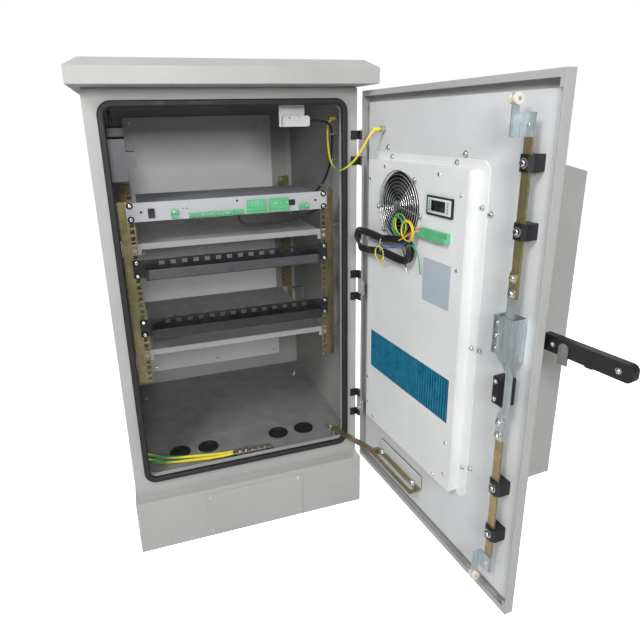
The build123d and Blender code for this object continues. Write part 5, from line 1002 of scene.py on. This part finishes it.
# Rod lock: two flat rods in moulded guides, driven by a gearbox through bolted links, with a hook and
# a pair of rollers at each end. Rods are yellow-passivated; links, hooks and gearbox are blue-white.
ROD_S = 0.536
HOOK_EDGE_S = 0.5275
LINK_FACE = -0.021
to_hinge = -(open_door.to_3x3() @ Vector((1.0, 0.0, 0.0)))
hook_cut = (tuple(to_hinge), on_door(HOOK_EDGE_S, 0.0, 0.0))


def rod_zinc(name, way, link_z, hook_z):
    """A rod's yellow plating, blue-white on its link and on its hook at the end it points to."""
    cuts = (((0.0, 0.0, -way), (0.0, 0.0, link_z)), ((0.0, 0.0, way), (0.0, 0.0, hook_z)), hook_cut)
    return zinc_plate(name, YELLOW_TONES, BLUE_TONES, cuts)


dress(rod_zinc("upper_rod_zinc", 1.0, 0.772, 1.0195), "lock_rod_upper")
dress(rod_zinc("lower_rod_zinc", -1.0, 0.512, 0.2635), "lock_rod_lower")
dress(blue_zinc, "lock_gearbox")
dress(black_moulding, "rod_guides", "handle_backing_block")
door_screws("upper_rod_bolts", LINK_FACE, ((ROD_S, 0.780), (ROD_S, 0.806)), bolt_pattern, 1.3, "rod_up")
door_screws("lower_rod_bolts", LINK_FACE, ((ROD_S, 0.547), (ROD_S, 0.521)), bolt_pattern, 1.3, "rod_down")
door_screws("upper_hook_screws", LINK_FACE, ((ROD_S, 1.0375),), screw_pattern, 0.8, "rod_up")
door_screws("lower_hook_screws", LINK_FACE, ((ROD_S, 0.2455),), screw_pattern, 0.8, "rod_down")
GUIDE_FACE = -0.022
door_screws("guide_bolts", GUIDE_FACE, [(ROD_S, z) for z in (0.983, 0.880, 0.414, 0.314)], bolt_pattern, 1.3)
# the slider plate beside the gearbox, with its bolts
SLIDER_FACE = -0.0225
SLIDER_T = 0.002
SLIDER_LOW = (0.5035, SLIDER_FACE, 0.668)
SLIDER_TOP = 0.736
slider = add_block("slider_plate", SLIDER_LOW, (0.5225, SLIDER_FACE + SLIDER_T, SLIDER_TOP), 0.0004)
slider_foot = add_block("slider_foot", SLIDER_LOW, (0.5055, 0.0045, SLIDER_TOP), 0.0004)
fit_on_door(smooth(join("gearbox_slider", [slider, slider_foot])), blue_zinc)
door_screws("slider_bolts", SLIDER_FACE, [(0.5125, z) for z in (0.724, 0.702, 0.679)], bolt_pattern, 0.85)
BLOCK_FACE = -0.020
door_screws("block_screws", BLOCK_FACE, [(0.518, z) for z in (0.6175, 0.5845)], bolt_pattern, 0.75)
roller_cream = moulding("roller_nylon", (0.72, 0.68, 0.55), (0.78, 0.75, 0.66), 0.38)
dress(roller_cream, "roller_upper", "roller_lower")

# Swing handle: glass-filled black moulding on a long base, with a lock cylinder and a dust flap.
dress(black_moulding, "handle_base", "handle_lever", "lock_cylinder")
dress(screw_steel, "handle_spindle")
flap_steel = bright_metal("flap_steel", (0.36, 0.35, 0.34), (0.24, 0.23, 0.22))
dress(flap_steel, "cylinder_flap")
LEVER_PIN = Vector((ROD_S, 0.038, 0.0))
LEVER_LIFT = math.radians(4.0)
LEVER_INNER_FACE = 0.030
LEVER_Z = 0.700
lever_frame = (Matrix.Translation(LEVER_PIN) @ Matrix.Rotation(LEVER_LIFT, 4, "Z")
               @ Matrix.Translation(-LEVER_PIN))
lever_screws = copies(bolt_pattern, "lever_screws",
                      [lever_frame @ facing((s, LEVER_INNER_FACE, LEVER_Z), INWARD, 30) @ Matrix.Scale(0.8, 4)
                       for s in (0.578, 0.690)])
fit_on_door(lever_screws, screw_steel, "lever")

# Door stay: a flat arm on a post at the sill, its end bolt held in a slotted rail on the door.
dress(blue_zinc, "stay_bracket")
stay_zinc = zinc_plate("stay_yellow_zinc", ((0.40, 0.32, 0.17), (0.27, 0.27, 0.14), (0.36, 0.25, 0.18)))
dress(stay_zinc, "stay_arm", "stay_rail")
STAY_TOP = 0.2315
STAY_LEG_FACE = 0.003
STAY_LEG_MIDDLE = -0.00225
strip = add_block("stay_cover_strip", (0.112, STAY_LEG_FACE - 0.0008, STAY_TOP),
                  (0.290, STAY_LEG_FACE, 0.2625), 0.0003)
fit_on_door(strip, door_coat)
stay_bolts = copies(hex_pattern, "stay_rail_bolts",
                    [facing((s, STAY_LEG_MIDDLE, STAY_TOP), UP, 15) @ Matrix.Scale(1.3, 4)
                     for s in (0.1268, 0.265)])
fit_on_door(stay_bolts, screw_steel)

# Door earth strap: a green-and-yellow lead that hangs in a loop from the wall stud to the door's lug.
dress(earth_metal, "door_earth_lug")
STRAP_R = 0.0025
BOOT_R = 0.0040
BOOT_L = 0.018
STRAP_ROUTE = from_front(((288, 103, 1054), (279, 103, 1054), (270, 102.5, 1049), (264, 101, 1039),
                          (260, 95, 1016), (256, 78, 985), (250, 50, 957), (246, 16, 940), (246, -20, 936),
                          (251, -52, 944), (260, -82, 962), (269, -103, 988), (278, -113.6, 1011),
                          (286.5, -115.4, 1023), (297.1, -114.4, 1029), (307, -113.53, 1029)))
strap = lay_line("door_strap_line", STRAP_ROUTE, STRAP_R, earth_sheath)
strap_points = line_points(strap)
select_only(strap)
bpy.ops.object.convert(target="MESH")
strap = smooth(bpy.context.object, 60.0)
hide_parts("door_earth_strap")
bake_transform(strap)
boot_yellow = sheath("boot_yellow", (0.74, 0.60, 0.03))
for boot_name, body, (seat, after) in (("strap_boot_wall", "cabinet", strap_points[:2]),
                                       ("strap_boot_door", "door", strap_points[:-3:-1])):
    boot = add_round(boot_name, BOOT_R, 0.0, BOOT_L, 24, 0.85, 0.0010, place=facing(seat, after - seat))
    fit(smooth(join(boot_name, [boot]), 50.0), boot_yellow, body)

# Spare lead: the exchanger's black supply lead, wound to a flat hank, tied at its waist and hung by the
# guard. Its stripped cores and the controller's leads come out of it in loops.
HANK_PLACE = Vector((0.158, -0.0342, 0.788))
HANK_TURN = math.radians(-3.0)
HANK_LEAD_R = 0.0025
HANK_HALF_L = 0.1170
HANK_BEND = 0.0268
HANK_BENDS = [HANK_BEND - 0.0027 * turn for turn in range(5)]
HANK_PINCH = 0.0080
HANK_PINCH_L = 0.040
HANK_LAYER = 0.0049
QUARTER_STEPS = 4


def on_hank(along, rise, sink):
    """A place on the tilted hank, towards the hinge, up and outwards, on the open door."""
    s = HANK_PLACE.x - along * math.cos(HANK_TURN) + rise * math.sin(HANK_TURN)
    z = HANK_PLACE.z + along * math.sin(HANK_TURN) + rise * math.cos(HANK_TURN)
    return on_door(s, HANK_PLACE.y + sink, z)


hank_route = []
fold_centre = HANK_HALF_L - HANK_BEND
straight = (1.0, 0.5, 0.0, -0.5, -1.0)
for turn, bend in enumerate(HANK_BENDS):
    layer = HANK_LAYER if turn % 2 else -HANK_LAYER
    next_bend = HANK_BENDS[min(turn + 1, len(HANK_BENDS) - 1)]
    for step in range(4 * QUARTER_STEPS):
        angle = 0.5 * math.pi * step / QUARTER_STEPS
        shares = (1.0,) if math.cos(angle) > 0.01 else (-1.0,)
        if step == QUARTER_STEPS:
            shares = straight
        elif step == 3 * QUARTER_STEPS:
            shares = straight[::-1]
        change = max(0.0, step / QUARTER_STEPS - 3.0) if next_bend != bend else 0.0
        radius = bend + (next_bend - bend) * change
        for share in shares:
            along = share * fold_centre + radius * math.cos(angle)
            pinch = HANK_PINCH * math.exp(-(along / HANK_PINCH_L) ** 2)
            rise = math.sin(angle) * (radius - pinch)
            hank_route.append(on_hank(along, rise, layer * (1.0 - 2.0 * change)))
hank = ride_line("spare_lead_hank", hank_route, HANK_LEAD_R, black_sheath, "door")
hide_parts("exchanger_hank")
HANK_TIE_R = 0.0218
HANK_TIE_WIRE = 0.0013
hank_tie = add_ring(HANK_TIE_R, HANK_TIE_WIRE, 48, turned=(0.0, math.pi / 2, 0.0))
hank_tie.scale = (1.0, 0.385, 1.0)
hank_tie.location = HANK_PLACE + Vector((0.004, 0.0, 0.0))
fit_on_door(join("hank_tie", [hank_tie]), white_moulding)
smooth(hank_tie, 60.0)
CORE_R = 0.0013
yellow_sheath = sheath("yellow_core", (0.70, 0.52, 0.03))
green_sheath = sheath("green_core", (0.02, 0.30, 0.14))
ferrule_white = sheath("ferrule_sleeve", (0.75, 0.75, 0.76))
# each core: its name, sheath and the points it passes on the door, across, outwards and up
for core_name, tone, points in (
        ("blue", blue_sheath, ((0.166, -0.0430, 0.789), (0.186, -0.0436, 0.786), (0.212, -0.0436, 0.792),
                               (0.240, -0.0430, 0.801), (0.262, -0.0400, 0.812), (0.283, -0.0350, 0.833),
                               (0.2885, -0.0310, 0.838))),
        ("yellow", yellow_sheath, ((0.236, -0.0420, 0.812), (0.258, -0.0420, 0.823), (0.278, -0.0380, 0.835),
                                   (0.2885, -0.0300, 0.841))),
        ("red", red_sheath, ((0.240, -0.0400, 0.815), (0.260, -0.0400, 0.829), (0.279, -0.0360, 0.840),
                             (0.2885, -0.0290, 0.8435))),
        ("tail_black", black_sheath, ((0.246, -0.0400, 0.800), (0.252, -0.0390, 0.790), (0.251, -0.0340, 0.774),
                                      (0.247, -0.0300, 0.756))),
        ("tail_green", green_sheath, ((0.262, -0.0400, 0.806), (0.281, -0.0390, 0.812), (0.291, -0.0350, 0.800),
                                      (0.295, -0.0300, 0.778), (0.293, -0.0260, 0.752)))):
    route = [on_door(*point) for point in points]
    ride_line("hank_core_" + core_name, route, CORE_R, tone, "door")
# earth cores wound to small rings above and below the hank: the place of each ring, its radius, how far
# it leads outwards in a turn, and its sheath
LOOP_STEPS = 12
LOOP_TURNS = 2
LOOP_DEPTH = -0.0385
LOOP_TIGHTENING = 0.10
for loop_name, s, z, radius, lead_out, tone in (("ring_1", 0.229, 0.842, 0.0265, 0.0030, earth_sheath),
                                                ("ring_2", 0.221, 0.838, 0.0235, 0.0030, green_sheath),
                                                ("ring_3", 0.262, 0.836, 0.0230, -0.0018, yellow_sheath),
                                                ("ring_4", 0.158, 0.768, 0.0200, -0.0018, earth_sheath)):
    route = []
    for i in range(LOOP_TURNS * LOOP_STEPS + 1):
        angle = 2 * math.pi * i / LOOP_STEPS - math.pi / 2
        spiral = radius * (1.0 - LOOP_TIGHTENING * i / LOOP_STEPS)
        depth = LOOP_DEPTH + lead_out * i / LOOP_STEPS
        route.append(on_door(s + spiral * math.cos(angle), depth, z + spiral * math.sin(angle)))
    ride_line("hank_core_" + loop_name, route, CORE_R, tone, "door")
# crimped ferrules on the two tails
ferrules = []
for place in ((0.247, -0.0300, 0.756), (0.293, -0.0260, 0.752)):
    sleeve = add_round("ferrule", 0.0017, 0.0, 0.007, 16, 0.8)
    pin = add_round("ferrule_pin", 0.0008, 0.006, 0.013, 12)
    ferrule = join("ferrule", [sleeve, pin])
    ferrule.matrix_world = facing(place, (-0.08, 0.25, -1.0))
    ferrules.append(ferrule)
ferrules = smooth(fit_on_door(join("core_ferrules", ferrules), ferrule_white))
run_length(line_points(hank))

for pattern in (screw_pattern, hex_pattern, bolt_pattern, clamp_pattern, rack_pattern, cup_pattern,
                cap_pattern, grommet_pattern):
    bpy.data.objects.remove(pattern)
